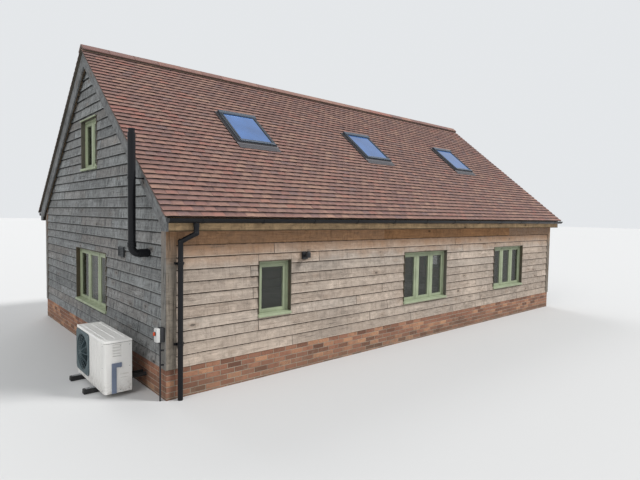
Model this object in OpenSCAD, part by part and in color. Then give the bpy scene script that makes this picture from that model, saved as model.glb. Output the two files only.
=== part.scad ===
// Timber-framed, weatherboarded outbuilding on a brick plinth, with a plain-tiled gabled roof.
// Millimetres. +X runs along the long walls, away from the service gable; +Y is the back; +Z is up.
// The origin is the centre of the plan, on the ground.

/* [Building] */
// Length over the corner posts
length = 11000; // [9800:100:13000]
// Width over the corner posts
width = 6600; // [6000:100:7400]
// Height of the brick plinth above the lowest ground
plinth_h = 400; // [330:10:600]
// Thickness of the brick plinth
plinth_t = 200; // [150:5:250]
// How far the brickwork stands behind the posts
plinth_set = 15; // [5:1:25]
// Side of the square corner posts
post = 140; // [120:5:180]
// Thickness of the ground floor slab
slab_t = 150; // [100:10:200]
// Thickness of the loft floor
loft_floor_t = 200; // [150:10:250]
// Height of the loft floor's top above the plinth
loft_floor_h = 1900; // [1850:10:1960]

/* [Weatherboards] */
// Height of board that shows in each course
board_cover = 161; // [120:1:190]
// Thickness of a board at its lower edge
board_butt = 32; // [24:1:36]
// Thickness of a board where the next one covers it
board_tip = 14; // [8:1:18]
// How far the boards stand behind the posts
board_set = 5; // [2:1:10]

/* [Roof] */
// Pitch of both slopes, in degrees
pitch = 39; // [34:1:43]
// Height of the eaves tile edge above the plinth
eaves_h = 1990; // [1960:10:2200]
// Reach of the tiles past the long walls
eaves_out = 250; // [230:5:270]
// Reach of the tiles past the gable walls
verge_out = 105; // [90:5:140]
// Thickness of the tiling, square to the slope
tiling_t = 40; // [32:1:50]
// Thickness of one tile
tile_t = 14; // [10:1:18]
// Length of tile that shows in each course
tile_gauge = 110; // [90:1:130]
// Thickness of the rafters and boarding, square to the slope
rafter_t = 150; // [120:5:160]
// Length of one ridge tile
ridge_tile_l = 450; // [300:10:600]
// Width of a ridge tile's wing
ridge_wing = 185; // [150:5:220]

/* [Eaves and verge] */
// Reach of the fascia's face past the long walls
fascia_out = 170; // [150:5:190]
// Thickness of the fascia
fascia_t = 20; // [16:1:28]
// Height of the soffit above the plinth
soffit_h = 1790; // [1750:5:1810]
// Thickness of the soffit board
soffit_t = 12; // [8:1:18]
// Distance from the gable's face to the barge board's face
barge_out = 62; // [50:1:80]
// Thickness of a barge board
barge_t = 25; // [18:1:32]
// Depth of a barge board, square to the slope
barge_w = 220; // [180:5:240]

/* [Windows] */
// Height of the window heads above the plinth
head_h = 1340; // [1200:10:1500]
// Height of the main window sills above the plinth
sill_h = 340; // [250:10:450]
// Height of the small window's sill above the plinth
small_sill_h = 505; // [450:10:650]
// Width of a main window on the long walls
window_w = 1400; // [1200:20:1600]
// Width of the small window
small_window_w = 600; // [500:20:760]
// Width of the lower gable window
gable_window_w = 1750; // [1400:20:1900]
// Width of the loft window
loft_window_w = 900; // [700:20:1100]
// Height of the loft window
loft_window_tall = 900; // [700:20:950]
// Height of the loft window's sill above the plinth
loft_sill_h = 2745; // [2700:10:2850]
// From the service corner to the middle of the small window
small_window_from = 1710; // [1300:10:2200]
// From the middle of the wall back to the middle of the centre window
centre_window_back = 64; // [0:4:300]
// From the far corner to the middle of the last window
last_window_from = 2240; // [1500:20:2800]
// From the gable's middle to the lower window's middle, towards the front
gable_window_front = 66; // [0:2:200]
// From the gable's middle to the loft window's middle, towards the front
loft_window_front = 34; // [0:2:120]
// Depth from the face of the posts to a window's face
window_set = 70; // [60:1:75]
// Face width of a window's outer frame and mullions
frame_face = 50; // [40:1:60]
// Depth of a window's frame
frame_deep = 65; // [55:1:65]
// Face width of a casement's rails and stiles
sash_face = 52; // [40:1:60]
// Depth of a casement
sash_deep = 45; // [35:1:50]
// Thickness of the window glass
glass_t = 24; // [14:1:28]
// Height of a sill's front edge
sill_t = 45; // [35:1:60]
// Reach of a sill past the posts' face
sill_out = 20; // [10:1:40]

/* [Roof windows] */
// Width of a roof window
rooflight_w = 780; // [550:10:800]
// Height of a roof window, up the slope
rooflight_l = 980; // [780:10:1000]
// Distance up the slope from the tile edge to the windows' middle
rooflight_up = 2450; // [2300:10:2600]
// From the service gable to the first window's middle
rooflight_first = 2220; // [1700:10:2600]
// From the roof's middle back to the second window's middle
rooflight_second = 150; // [0:10:400]
// From the far gable to the third window's middle
rooflight_third = 2340; // [1800:10:2900]
// Height of a roof window's frame above the tiles
rooflight_up_t = 50; // [44:1:90]
// Face width of a roof window's frame
rooflight_face = 64; // [50:1:80]
// Length of the hood over a roof window's head
hood_l = 95; // [70:5:130]
// Height of the hood above the frame
hood_t = 16; // [10:1:24]
// Length of the flashing apron below a roof window
apron_l = 150; // [120:5:200]
// Width of the flashing beside a roof window
flash_side = 35; // [25:5:90]

/* [Back door] */
// Width of the doorway
door_w = 900; // [800:20:1000]
// Height of the door's head above the plinth
door_head_h = 1720; // [1640:10:1740]
// From the wall's middle to the doorway's middle, towards the service gable
door_from_middle = 1500; // [1300:20:1700]
// Face width of the door frame
door_frame = 60; // [45:1:70]
// Thickness of the door
door_t = 44; // [35:1:50]

/* [Rainwater pipes] */
// Outer radius of the half-round gutter
gutter_r = 60; // [50:1:70]
// Wall of the gutters and pipes
gutter_wall = 3; // [2:0.5:4]
// Spacing of the gutter brackets
bracket_step = 930; // [600:10:1000]
// Thickness of a gutter bracket
bracket_t = 5; // [3:0.5:6]
// Diameter of the downpipe
downpipe_d = 68; // [60:1:76]
// From the service corner to the downpipe's axis
downpipe_from = 172; // [150:2:200]
// From the service corner to the gutter outlet's axis
outlet_from = 300; // [270:5:400]
// Gap between the posts' face and the downpipe
downpipe_gap = 26; // [20:1:40]

/* [Soil pipe] */
// Diameter of the soil pipe
soil_d = 100; // [82:1:110]
// From the gable's face to the soil pipe's axis
soil_out = 226; // [200:1:300]
// From the front corner to the soil pipe's axis
soil_from = 550; // [400:2:700]
// Height of the soil pipe's top above the plinth
soil_top_h = 3110; // [2900:10:3300]
// Height of the branch through the wall above the plinth
soil_branch_h = 1478; // [1440:1:1510]

/* [Wall fittings] */
// Width of the wall vent
vent_w = 225; // [180:5:250]
// Height of the wall vent
vent_tall = 150; // [110:5:180]
// From the front corner to the vent's middle
vent_from = 1600; // [1400:10:1700]
// Height of the vent's middle above the plinth
vent_h = 1420; // [1380:10:1460]
// From the service corner to the wall lamp's middle
lamp_from = 2266; // [2150:10:2500]
// Height of the wall lamp's middle above the plinth
lamp_h = 1390; // [1300:10:1480]
// Width of the isolator switch
isolator_w = 92; // [70:2:110]
// Height of the isolator switch
isolator_tall = 185; // [140:5:200]
// Height of the isolator's underside above the plinth
isolator_h = 370; // [300:10:500]
// From the front corner to the isolator
isolator_from = 20; // [10:1:40]
// Depth of the isolator's base
isolator_base = 60; // [40:1:70]
// Depth of the isolator's lid
isolator_lid = 50; // [35:1:60]
// Distance between the post and the conduit's axis
conduit_out = 44; // [25:1:46]
// Diameter of the isolator's conduit
conduit_d = 22; // [16:1:26]

/* [Heat pump] */
// Width of the heat pump, along the gable
pump_w = 1250; // [1000:10:1300]
// Depth of the heat pump
pump_d = 350; // [300:5:380]
// Height of the heat pump with its feet
pump_tall = 760; // [650:10:800]
// Height of the rubber feet
pump_feet = 62; // [40:1:80]
// Clear space between the gable and the heat pump
pump_gap = 235; // [200:5:280]
// From the front corner to the heat pump's near side
pump_from = 530; // [480:10:600]
// Diameter of the fan guard's dome
guard_d = 530; // [480:5:540]
// Width of the guard's square panel beside the dome
guard_margin = 30; // [20:1:40]
// How far the fan guard bulges
guard_rise = 45; // [30:1:60]
// Number of rings in the fan guard
guard_rings = 9; // [6:1:12]
// Number of ribs in the fan guard
guard_ribs = 12; // [8:1:16]
// Number of blades on the fan
fan_blades = 4; // [3:1:5]
// Height of the lid with its ribs
lid_t = 34; // [28:1:40]
// Number of ribs along the lid
lid_ribs = 3; // [2:1:5]
// Width of a rubber foot
foot_w = 100; // [80:5:120]
// Reach of the feet in front of the casing
foot_front = 150; // [60:5:180]
// Reach of the feet behind the casing
foot_back = 60; // [20:5:120]
// From the casing's near side to the near foot
foot_near = 350; // [120:10:400]
// From the far foot to the casing's far side
foot_far = 150; // [120:10:400]
// Width of the valve cover
valve_w = 58; // [45:1:70]
// Height of the valve cover
valve_tall = 395; // [300:5:420]
// Width of the valve cover's head
valve_head_w = 125; // [90:5:140]
// Height of the valve cover's head
valve_head = 57; // [40:1:70]
// Thickness of the valve cover
valve_t = 12; // [8:1:20]
// From the casing's front to the valve cover and the handle recess
side_set = 90; // [75:1:110]

/* [Hidden] */
$fn = 48;

eps = 1;                                   // overrun of a cutter past the face it cuts
half_l = length / 2;
half_w = width / 2;
frame_face_in = board_set + board_butt;    // from the posts' face to the studs' face
stud_t = post - frame_face_in;             // studs end flush with the posts' inner faces
inner_l = half_l - post;
inner_w = half_w - post;

eaves_z = plinth_h + eaves_h;
eaves_y = half_w + eaves_out;
run_l = eaves_y / cos(pitch);              // slope length of the tile plane
apex_z = eaves_z + eaves_y * tan(pitch);
roof_t = tiling_t + rafter_t;
soffit_z = plinth_h + soffit_h;
fascia_y = half_w + fascia_out;
verge_x = half_l + verge_out;
barge_x = half_l + barge_out;
rafter_x = barge_x - barge_t;              // the roof boarding ends behind the barge boards
ridge_bed = 24;                            // mortar between the tiles and a ridge tile
ridge_joint = 6;
ridge_clear = 40;                          // least distance from the ridge to the last course's edge
courses = floor((run_l - ridge_clear) / tile_gauge) + 1;

boards = floor(soffit_h / board_cover) - 1; // whole courses below the plain board at the eaves
gable_boards = ceil((apex_z - plinth_h) / board_cover);

window_z = plinth_h + sill_h;
window_tall = head_h - sill_h;
small_tall = head_h - small_sill_h;
loft_z = plinth_h + loft_sill_h;
door_head_z = plinth_h + door_head_h;

gutter_y = fascia_y + bracket_t + gutter_r;
gutter_z = eaves_z - 34;
outlet_z = gutter_z - gutter_r;
pipe_y = half_w + downpipe_gap + downpipe_d / 2;

soil_x = half_l + soil_out;
soil_y = half_w - soil_from;
soil_top = plinth_h + soil_top_h;
soil_branch_z = plinth_h + soil_branch_h;
soil_bend = soil_d * 0.9;
soil_clip_in = 92;                         // from a barge board's top to the pipe's clip, square to the slope
soil_clip_z = roof_z(soil_y) - (tiling_t + soil_clip_in) / cos(pitch);

pump_x = half_l + pump_gap;                // back of the casing, measured from the middle
pump_y = half_w - pump_from;               // near side of the casing
casing_h = pump_tall - pump_feet - lid_t;
casing_r = 34;
sash_set = 8;                              // from a frame's face to its casement or door
sill_rise = 4;                             // height of a sill's back above its thickness
sill_fall = 8;                             // fall of a sill's top to its front edge

// Long wall windows: [middle along the wall, sill, width, height, lights]
long_windows = [
    [-half_l + small_window_from, plinth_h + small_sill_h, small_window_w, small_tall, 1],
    [-centre_window_back, window_z, window_w, window_tall, 3],
    [half_l - last_window_from, window_z, window_w, window_tall, 3]];
// Gable windows: [distance from the gable's middle towards the front, sill, width, height, lights]
end_windows = [
    [gable_window_front, window_z, gable_window_w, window_tall, 3],
    [loft_window_front, loft_z, loft_window_w, loft_window_tall, 2]];
rooflights = [-half_l + rooflight_first, -rooflight_second, half_l - rooflight_third];

// Height of the tile plane above a distance from the middle of the building
function roof_z(y) = eaves_z + (eaves_y - abs(y)) * tan(pitch);

// A point of the front slope's section: s up the slope from the tile edge, h below the tile plane
function slope_point(s, h) = [
    -eaves_y + s * cos(pitch) + h * sin(pitch),
    eaves_z + s * sin(pitch) - h * cos(pitch)];

// Section of lapped courses: thick at each lower edge, thin where the next course covers it
function lapped(count, cover, butt, tip) = concat([[0, 0]],
    [for (i = [0 : count - 1]) each [[butt, i * cover], [tip, (i + 1) * cover]]],
    [[0, count * cover]]);

// Places its children on one face of the building, drawn on the front and looking along +Y
module on_front() { translate([0, -half_w, 0]) children(); }
module on_back() { rotate([0, 0, 180]) on_front() children(); }
module on_service_gable() { rotate([0, 0, -90]) translate([0, -half_l, 0]) children(); }
module on_far_gable() { mirror([1, 0, 0]) on_service_gable() children(); }

// Extrudes a section drawn in Y and Z along X, centred on the middle of the building
module along_x(from, to) {
    translate([from, 0, 0]) rotate([90, 0, 90]) linear_extrude(to - from) children();
}

// Space below a plane that lies h under the tiles, as wide as the building and its eaves
module under_roof(h, reach = 0) {
    drop = h / cos(pitch);
    far = eaves_y + reach;
    along_x(-length, length)
        polygon([[-far, 0], [far, 0], [far, roof_z(far) - drop],
            [0, apex_z - drop], [-far, roof_z(far) - drop]]);
}

// Holes for windows in a wall drawn on the front, through the whole wall
module window_holes(list) {
    for (w = list) translate([w[0] - w[2] / 2, -eps, w[1]]) cube([w[2], post + 2 * eps, w[3]]);
}

module doorway(from_z) {
    deep = plinth_set + plinth_t + 2 * eps;
    translate([-door_w / 2, -eps, from_z]) cube([door_w, deep, door_head_z - from_z]);
}

module ground_slab() {
    reach = plinth_set + plinth_t;
    color("silver") translate([-half_l + reach, -half_w + reach, 0])
        cube([length - 2 * reach, width - 2 * reach, slab_t]);
}

module brick_plinth() {
    inside = plinth_set + plinth_t;
    color("firebrick") difference() {
        translate([-half_l + plinth_set, -half_w + plinth_set, 0])
            cube([length - 2 * plinth_set, width - 2 * plinth_set, plinth_h]);
        translate([-half_l + inside, -half_w + inside, -eps])
            cube([length - 2 * inside, width - 2 * inside, plinth_h + 2 * eps]);
        on_back() translate([door_from_middle, 0, 0]) doorway(slab_t);
    }
}

module loft_floor() {
    color("burlywood") translate([-inner_l, -inner_w, plinth_h + loft_floor_h - loft_floor_t])
        cube([2 * inner_l, 2 * inner_w, loft_floor_t]);
}

// Stud wall along the front, up to the underside of the rafters
module stud_wall(half, top) {
    translate([-half, frame_face_in, plinth_h]) cube([2 * half, stud_t, top - plinth_h]);
}

module front_wall() {
    color("tan") intersection() {
        on_front() difference() {
            stud_wall(inner_l, apex_z);
            window_holes(long_windows);
        }
        under_roof(roof_t);
    }
}

module back_wall() {
    color("tan") intersection() {
        on_back() difference() {
            stud_wall(inner_l, apex_z);
            window_holes(long_windows);
            translate([door_from_middle, 0, 0]) doorway(slab_t);
        }
        under_roof(roof_t);
    }
}

module gable_studs() {
    difference() {
        stud_wall(inner_w, apex_z);
        window_holes(end_windows);
    }
}

module service_gable_wall() {
    color("tan") intersection() {
        on_service_gable() gable_studs();
        under_roof(roof_t);
    }
}

module far_gable_wall() {
    color("tan") intersection() {
        on_far_gable() gable_studs();
        under_roof(roof_t);
    }
}

module corner_posts() {
    color("darkgray") intersection() {
        for (x = [-half_l, half_l - post], y = [-half_w, half_w - post])
            translate([x, y, plinth_h]) cube([post, post, apex_z]);
        under_roof(roof_t);
    }
}

// Lapped boards on the front, from the plinth up, centred on the wall
module lapped_boards(half, count) {
    translate([-half, frame_face_in, plinth_h]) rotate([90, 0, 90]) mirror([1, 0, 0])
        linear_extrude(2 * half) polygon(lapped(count, board_cover, board_butt, board_tip));
}

module long_boarding() {
    plain_z = plinth_h + boards * board_cover;
    difference() {
        union() {
            lapped_boards(inner_l, boards);
            translate([-inner_l, board_set, plain_z]) cube([2 * inner_l, board_butt, soffit_z - plain_z]);
        }
        window_holes(long_windows);
    }
}

module front_boarding() {
    color("linen") on_front() long_boarding();
}

module back_boarding() {
    color("linen") on_back() difference() {
        long_boarding();
        translate([door_from_middle, 0, 0]) doorway(slab_t);
    }
}

module gable_boarding() {
    difference() {
        lapped_boards(inner_w, gable_boards);
        window_holes(end_windows);
    }
}

module service_gable_boarding() {
    color("silver") intersection() {
        on_service_gable() gable_boarding();
        under_roof(roof_t);
    }
}

module far_gable_boarding() {
    color("silver") intersection() {
        on_far_gable() gable_boarding();
        under_roof(roof_t);
    }
}

// Places its children on the front slope: X along the building, Y up the slope, Z off the tiles
module on_slope(x, up) {
    translate([x, -eaves_y, eaves_z]) rotate([pitch, 0, 0]) translate([0, up, 0]) children();
}

module rooflight_holes() {
    deep = 2 * roof_t;
    for (x = rooflights) on_slope(x, rooflight_up)
        translate([-rooflight_w / 2, -rooflight_l / 2, -deep]) cube([rooflight_w, rooflight_l, 2 * deep]);
}

module front_slope_rafters() {
    foot_y = half_w + fascia_out - fascia_t;
    difference() {
        along_x(-rafter_x, rafter_x) polygon([
            [0, apex_z - tiling_t / cos(pitch)], [-foot_y, roof_z(foot_y) - tiling_t / cos(pitch)],
            [-foot_y, roof_z(foot_y) - roof_t / cos(pitch)], [0, apex_z - roof_t / cos(pitch)]]);
        rooflight_holes();
    }
}

module front_rafters() {
    color("peru") front_slope_rafters();
}

module back_rafters() {
    color("peru") rotate([0, 0, 180]) front_slope_rafters();
}

// Stepped courses of plain tiles, cut upright under the ridge
module front_slope_tiling() {
    difference() {
        intersection() {
            along_x(-verge_x, verge_x) polygon(concat(
                [slope_point((courses + 0.5) * tile_gauge, tiling_t), slope_point(0, tiling_t)],
                [for (i = [0 : courses - 2]) each [
                    slope_point(i * tile_gauge, 0), slope_point((i + 1) * tile_gauge, tile_t)]],
                [slope_point((courses - 1) * tile_gauge, 0),
                    slope_point((courses + 0.5) * tile_gauge, 1.5 * tile_t)]));
            translate([-verge_x, -2 * eaves_y, 0]) cube([2 * verge_x, 2 * eaves_y, 2 * apex_z]);
        }
        rooflight_holes();
    }
}

module front_tiling() {
    color("sienna") front_slope_tiling();
}

module back_tiling() {
    color("sienna") rotate([0, 0, 180]) front_slope_tiling();
}

// Section of an angle ridge whose inner faces lie h above the tile plane, with a rounded crest
module ridge_section(h, thick, wing) {
    inner = apex_z + h / cos(pitch);
    outer = inner + thick / cos(pitch);
    y_in = wing * cos(pitch);
    y_out = y_in + thick * sin(pitch);
    crest_r = wing;
    intersection() {
        polygon([[0, inner], [-y_in, inner - y_in * tan(pitch)], [-y_out, outer - y_out * tan(pitch)],
            [0, outer], [y_out, outer - y_out * tan(pitch)], [y_in, inner - y_in * tan(pitch)]]);
        translate([0, outer - 6 - crest_r]) circle(crest_r, $fn = 96);
    }
}

module ridge_tiles() {
    count = round(2 * verge_x / ridge_tile_l);
    each_l = 2 * verge_x / count;
    color("saddlebrown") {
        along_x(-verge_x, verge_x) ridge_section(0, ridge_bed + tile_t / 2, ridge_wing - 12);
        for (i = [0 : count - 1])
            along_x(-verge_x + i * each_l + ridge_joint / 2, -verge_x + (i + 1) * each_l - ridge_joint / 2)
                ridge_section(ridge_bed, tile_t, ridge_wing);
    }
}

module front_eaves_boards() {
    translate([-rafter_x, -fascia_y, soffit_z]) cube([2 * rafter_x, fascia_t, eaves_h]);
    translate([-rafter_x, -fascia_y, soffit_z]) cube([2 * rafter_x, fascia_out, soffit_t]);
}

module fascias_and_soffits() {
    color("wheat") intersection() {
        for (turn = [0, 180]) rotate([0, 0, turn]) front_eaves_boards();
        under_roof(tiling_t);
    }
}

// Pair of barge boards meeting at the ridge, each with a foot that closes the eaves box
module barge_pair() {
    top = tiling_t / cos(pitch);
    low = (tiling_t + barge_w) / cos(pitch);
    half_pair = [[-fascia_y, roof_z(fascia_y) - top], [-fascia_y, soffit_z], [-half_w, soffit_z],
        [-half_w, roof_z(half_w) - low], [0, apex_z - low]];
    along_x(-barge_x, -rafter_x) {
        polygon(concat([[0, apex_z - top]], half_pair));
        mirror([1, 0]) polygon(concat([[0, apex_z - top]], half_pair));
    }
}

module barge_boards() {
    color("gray") {
        barge_pair();
        mirror([1, 0, 0]) barge_pair();
    }
}

// Half-round gutter with stop ends and brackets, along the front fascia
module gutter() {
    reach = verge_x - 30;
    bracket_w = 30;
    brackets = floor((2 * reach - bracket_step / 2) / bracket_step);
    first = -(brackets * bracket_step + bracket_w) / 2;
    difference() {
        union() {
            along_x(-reach, reach) half_round(gutter_r);
            for (i = [0 : brackets]) along_x(first + i * bracket_step, first + i * bracket_step + bracket_w) {
                half_round(gutter_r + bracket_t);
                translate([-fascia_y - bracket_t, outlet_z]) square([bracket_t, gutter_r]);
            }
        }
        along_x(-reach + gutter_wall, reach - gutter_wall)
            translate([-gutter_y, gutter_z]) circle(gutter_r - gutter_wall, $fn = 64);
        outlet_bore();
    }
}

module half_round(r) {
    intersection() {
        translate([-gutter_y, gutter_z]) circle(r, $fn = 64);
        translate([-gutter_y - 2 * r, gutter_z - 2 * r]) square([4 * r, 2 * r]);
    }
}

module outlet_bore() {
    translate([-half_l + outlet_from, -gutter_y, outlet_z - gutter_r / 2])
        cylinder(r = downpipe_d / 2 - gutter_wall, h = gutter_r);
}

module front_gutter() {
    color("black") gutter();
}

module back_gutter() {
    color("black") mirror([0, 1, 0]) gutter();
}

// Straight tube between two points, solid
module rod(a, b, d) {
    v = b - a;
    translate(a) rotate([0, acos(v[2] / norm(v)), atan2(v[1], v[0])]) cylinder(d = d, h = norm(v));
}

// Downpipe with its gutter outlet, two-bend neck and wall clips
module downpipe() {
    pipe_x = -half_l + downpipe_from;
    outlet_x = -half_l + outlet_from;
    neck_z = outlet_z - 128;
    neck_fall = 112;
    neck_top = [outlet_x, -gutter_y, neck_z];
    neck_low = [pipe_x, -pipe_y, neck_z - neck_fall];
    socket_d = downpipe_d + 12;
    ear_w = 130;
    ear_tall = 28;
    translate(neck_top) cylinder(d = downpipe_d, h = outlet_z + gutter_wall - neck_z);
    translate([outlet_x, -gutter_y, outlet_z - 50]) cylinder(d = socket_d, h = 46);
    for (bend = [neck_top, neck_low]) translate(bend) sphere(d = downpipe_d + 8);
    rod(neck_top, neck_low, downpipe_d);
    translate([pipe_x, -pipe_y, 0]) cylinder(d = downpipe_d, h = neck_low[2]);
    for (z = [plinth_h + 310, neck_low[2] - 300]) translate([pipe_x, -pipe_y, z]) {
        cylinder(d = socket_d, h = ear_tall + 12);
        translate([-ear_w / 2, downpipe_d / 2 - 4, 6]) cube([ear_w, downpipe_gap + board_set + 4, ear_tall]);
    }
}

module downpipes() {
    color("black") {
        downpipe();
        rotate([0, 0, 180]) downpipe();
    }
}

// Window frame with casements and sill, drawn on the front with its middle at x = 0 and foot at z = 0
module window_frame(w, tall, lights) {
    bay = (w - frame_face) / lights;
    bottom = sill_t + sill_rise;
    difference() {
        translate([-w / 2, window_set, 0]) cube([w, frame_deep, tall]);
        for (i = [0 : lights - 1])
            translate([-w / 2 + frame_face + i * bay, window_set - eps, bottom])
                cube([bay - frame_face, frame_deep + 2 * eps, tall - bottom - frame_face]);
    }
    for (i = [0 : lights - 1])
        translate([-w / 2 + frame_face + i * bay, window_set + sash_set, bottom])
            casement(bay - frame_face, tall - bottom - frame_face);
    sill(w);
}

module casement(w, tall) {
    difference() {
        cube([w, sash_deep, tall]);
        translate([sash_face, -eps, sash_face])
            cube([w - 2 * sash_face, sash_deep + 2 * eps, tall - 2 * sash_face]);
    }
}

module sill(w) {
    translate([-w / 2, 0, 0]) rotate([90, 0, 90]) linear_extrude(w)
        polygon([[-sill_out, 0], [window_set, 0], [window_set, sill_t + sill_rise],
            [window_set - sill_rise, sill_t + sill_rise], [-sill_out, sill_t - sill_fall]]);
}

module window_panes(w, tall, lights) {
    pane_y = window_set + sash_set + (sash_deep - glass_t) / 2;
    bay = (w - frame_face) / lights;
    bottom = sill_t + sill_rise;
    for (i = [0 : lights - 1])
        translate([-w / 2 + frame_face + i * bay + sash_face, pane_y, bottom + sash_face])
            cube([bay - frame_face - 2 * sash_face, glass_t, tall - bottom - frame_face - 2 * sash_face]);
}

module windows_in(list) {
    for (w = list) translate([w[0], 0, w[1]]) window_frame(w[2], w[3], w[4]);
}

module panes_in(list) {
    for (w = list) translate([w[0], 0, w[1]]) window_panes(w[2], w[3], w[4]);
}

// Drip board in the head of the loft window, against the frame
module loft_drip() {
    thick = 18;
    translate([loft_window_front - loft_window_w / 2, -sill_out, loft_z + loft_window_tall - thick])
        cube([loft_window_w, sill_out + window_set, thick]);
}

module front_windows() {
    color("darkseagreen") on_front() windows_in(long_windows);
}

module back_windows() {
    color("darkseagreen") on_back() windows_in(long_windows);
}

module gable_windows() {
    color("darkseagreen") {
        on_service_gable() { windows_in(end_windows); loft_drip(); }
        on_far_gable() { windows_in(end_windows); loft_drip(); }
    }
}

module window_glass() {
    color("lightblue") {
        on_front() panes_in(long_windows);
        on_back() panes_in(long_windows);
    }
}

module gable_window_glass() {
    color("lightblue") {
        on_service_gable() panes_in(end_windows);
        on_far_gable() panes_in(end_windows);
    }
}

// Ring of rectangular section: outer width and length, face width, lowest and highest levels
module slope_ring(w, l, face, low, high) {
    difference() {
        translate([-w / 2, -l / 2, low]) cube([w, l, high - low]);
        translate([-w / 2 + face, -l / 2 + face, low - eps])
            cube([w - 2 * face, l - 2 * face, high - low + 2 * eps]);
    }
}

// Roof window frame: a kerb through the roof, a raised sash inside it and a hood over the head
module rooflight_frame() {
    kerb_face = rooflight_face / 2;
    head = rooflight_l / 2;
    slope_ring(rooflight_w, rooflight_l, kerb_face, -roof_t, rooflight_up_t - 8);
    slope_ring(rooflight_w - rooflight_face, rooflight_l - rooflight_face, kerb_face, -roof_t,
        rooflight_up_t);
    translate([-rooflight_w / 2, 0, 0]) rotate([90, 0, 90]) linear_extrude(rooflight_w)
        polygon([[head - kerb_face, rooflight_up_t - 8], [head, rooflight_up_t - 8],
            [head, rooflight_up_t + hood_t - 5], [head - 8, rooflight_up_t + hood_t],
            [head - hood_l + 12, rooflight_up_t + hood_t], [head - hood_l, rooflight_up_t],
            [head - kerb_face, rooflight_up_t]]);
}

module rooflight_pane() {
    pane_w = rooflight_w - 2 * rooflight_face;
    pane_l = rooflight_l - 2 * rooflight_face;
    translate([-pane_w / 2, -pane_l / 2, rooflight_up_t - glass_t - 12]) cube([pane_w, pane_l, glass_t]);
}

// Flashing: apron, side strips and back gutter round a roof window
module rooflight_flashing() {
    thick = 6;
    w = rooflight_w + 2 * flash_side;
    low = -rooflight_l / 2 - apron_l;
    difference() {
        union() {
            translate([-w / 2, low, 0]) cube([w, rooflight_l + apron_l + flash_side, thick]);
            translate([-rooflight_w / 2 - thick, -rooflight_l / 2 - thick, 0])
                cube([rooflight_w + 2 * thick, rooflight_l + 2 * thick, rooflight_up_t / 2]);
        }
        translate([-rooflight_w / 2, -rooflight_l / 2, -eps])
            cube([rooflight_w, rooflight_l, rooflight_up_t]);
    }
}

module roof_windows() {
    color("dimgray") for (turn = [0, 180], x = rooflights)
        rotate([0, 0, turn]) on_slope(x, rooflight_up) rooflight_frame();
}

module roof_window_glass() {
    color("lightblue") for (turn = [0, 180], x = rooflights)
        rotate([0, 0, turn]) on_slope(x, rooflight_up) rooflight_pane();
}

module roof_window_flashing() {
    color("gray") for (turn = [0, 180], x = rooflights)
        rotate([0, 0, turn]) on_slope(x, rooflight_up) rooflight_flashing();
}

module back_door_frame() {
    head = door_head_z - slab_t;
    color("darkseagreen") on_back() translate([door_from_middle, window_set, slab_t]) difference() {
        translate([-door_w / 2, 0, 0]) cube([door_w, frame_deep, head]);
        translate([-door_w / 2 + door_frame, -eps, -eps])
            cube([door_w - 2 * door_frame, frame_deep + 2 * eps, head - door_frame + eps]);
    }
}

module back_door() {
    leaf_w = door_w - 2 * door_frame;
    leaf_h = door_head_z - slab_t - door_frame;
    color("darkseagreen") on_back() translate([door_from_middle, window_set + sash_set, slab_t]) {
        translate([-leaf_w / 2, 0, 0]) cube([leaf_w, door_t, leaf_h]);
        translate([leaf_w / 2 - 70, -55, leaf_h / 2]) rotate([-90, 0, 0]) cylinder(d = 20, h = 56);
        translate([leaf_w / 2 - 180, -55, leaf_h / 2 - 9]) cube([120, 16, 18]);
    }
}

// Soil pipe: upright stack with a vent cap, ringed bend and a short branch through the gable
module soil_pipe() {
    x = -soil_x;
    y = -soil_y;
    bend_z = soil_branch_z + soil_bend;
    socket_d = soil_d + 14;
    bead_d = socket_d + 8;
    branch_l = soil_x - soil_bend - half_l;
    color("black") {
        translate([x, y, bend_z]) cylinder(d = soil_d, h = soil_top - 55 - bend_z);
        translate([x, y, soil_top - 55 - eps]) cylinder(d = soil_d * 0.82, h = 40);
        translate([x, y, soil_top - 16]) cylinder(d = soil_d * 0.92, h = 16);
        translate([x, y, bend_z]) {
            cylinder(d = socket_d, h = 52);
            for (z = [0, 44]) translate([0, 0, z]) cylinder(d = bead_d, h = 10);
        }
        translate([x + soil_bend, y, bend_z]) rotate([-90, 0, 0]) rotate([0, 0, 90])
            rotate_extrude(angle = 90) translate([soil_bend, 0]) circle(d = soil_d);
        translate([x + soil_bend, y, soil_branch_z]) rotate([0, 90, 0]) {
            cylinder(d = soil_d, h = branch_l + board_set);
            cylinder(d = socket_d, h = branch_l - 18);
            for (out = [0, branch_l - 28]) translate([0, 0, out]) cylinder(d = bead_d, h = 10);
        }
    }
}

module soil_pipe_bracket() {
    ring = 30;
    color("dimgray") translate([-soil_x, -soil_y, soil_clip_z - ring / 2]) {
        difference() {
            cylinder(d = soil_d + 12, h = ring);
            translate([0, 0, -eps]) cylinder(d = soil_d, h = ring + 2 * eps);
        }
        translate([soil_d / 2 + 3, -8, ring / 2 - 8]) cube([soil_x - barge_x - soil_d / 2 - 3, 16, 16]);
    }
}

module wall_vent() {
    slats = 5;
    rim = 14;
    out = 24;
    slat_t = 3;
    clear_w = vent_w - 2 * rim;
    clear_tall = vent_tall - 2 * rim;
    step = clear_tall / slats;
    vent_z = plinth_h + vent_h - vent_tall / 2;
    color("black") on_service_gable() translate([half_w - vent_from, board_set, vent_z]) {
        difference() {
            translate([-vent_w / 2, -out, 0]) cube([vent_w, out, vent_tall]);
            translate([-clear_w / 2, -out - eps, rim]) cube([clear_w, out * 2 / 3 + eps, clear_tall]);
        }
        for (i = [0 : slats - 1]) translate([-clear_w / 2, -out + 2, rim + i * step])
            rotate([-35, 0, 0]) cube([clear_w, slat_t, step * 0.9]);
    }
}

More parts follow.
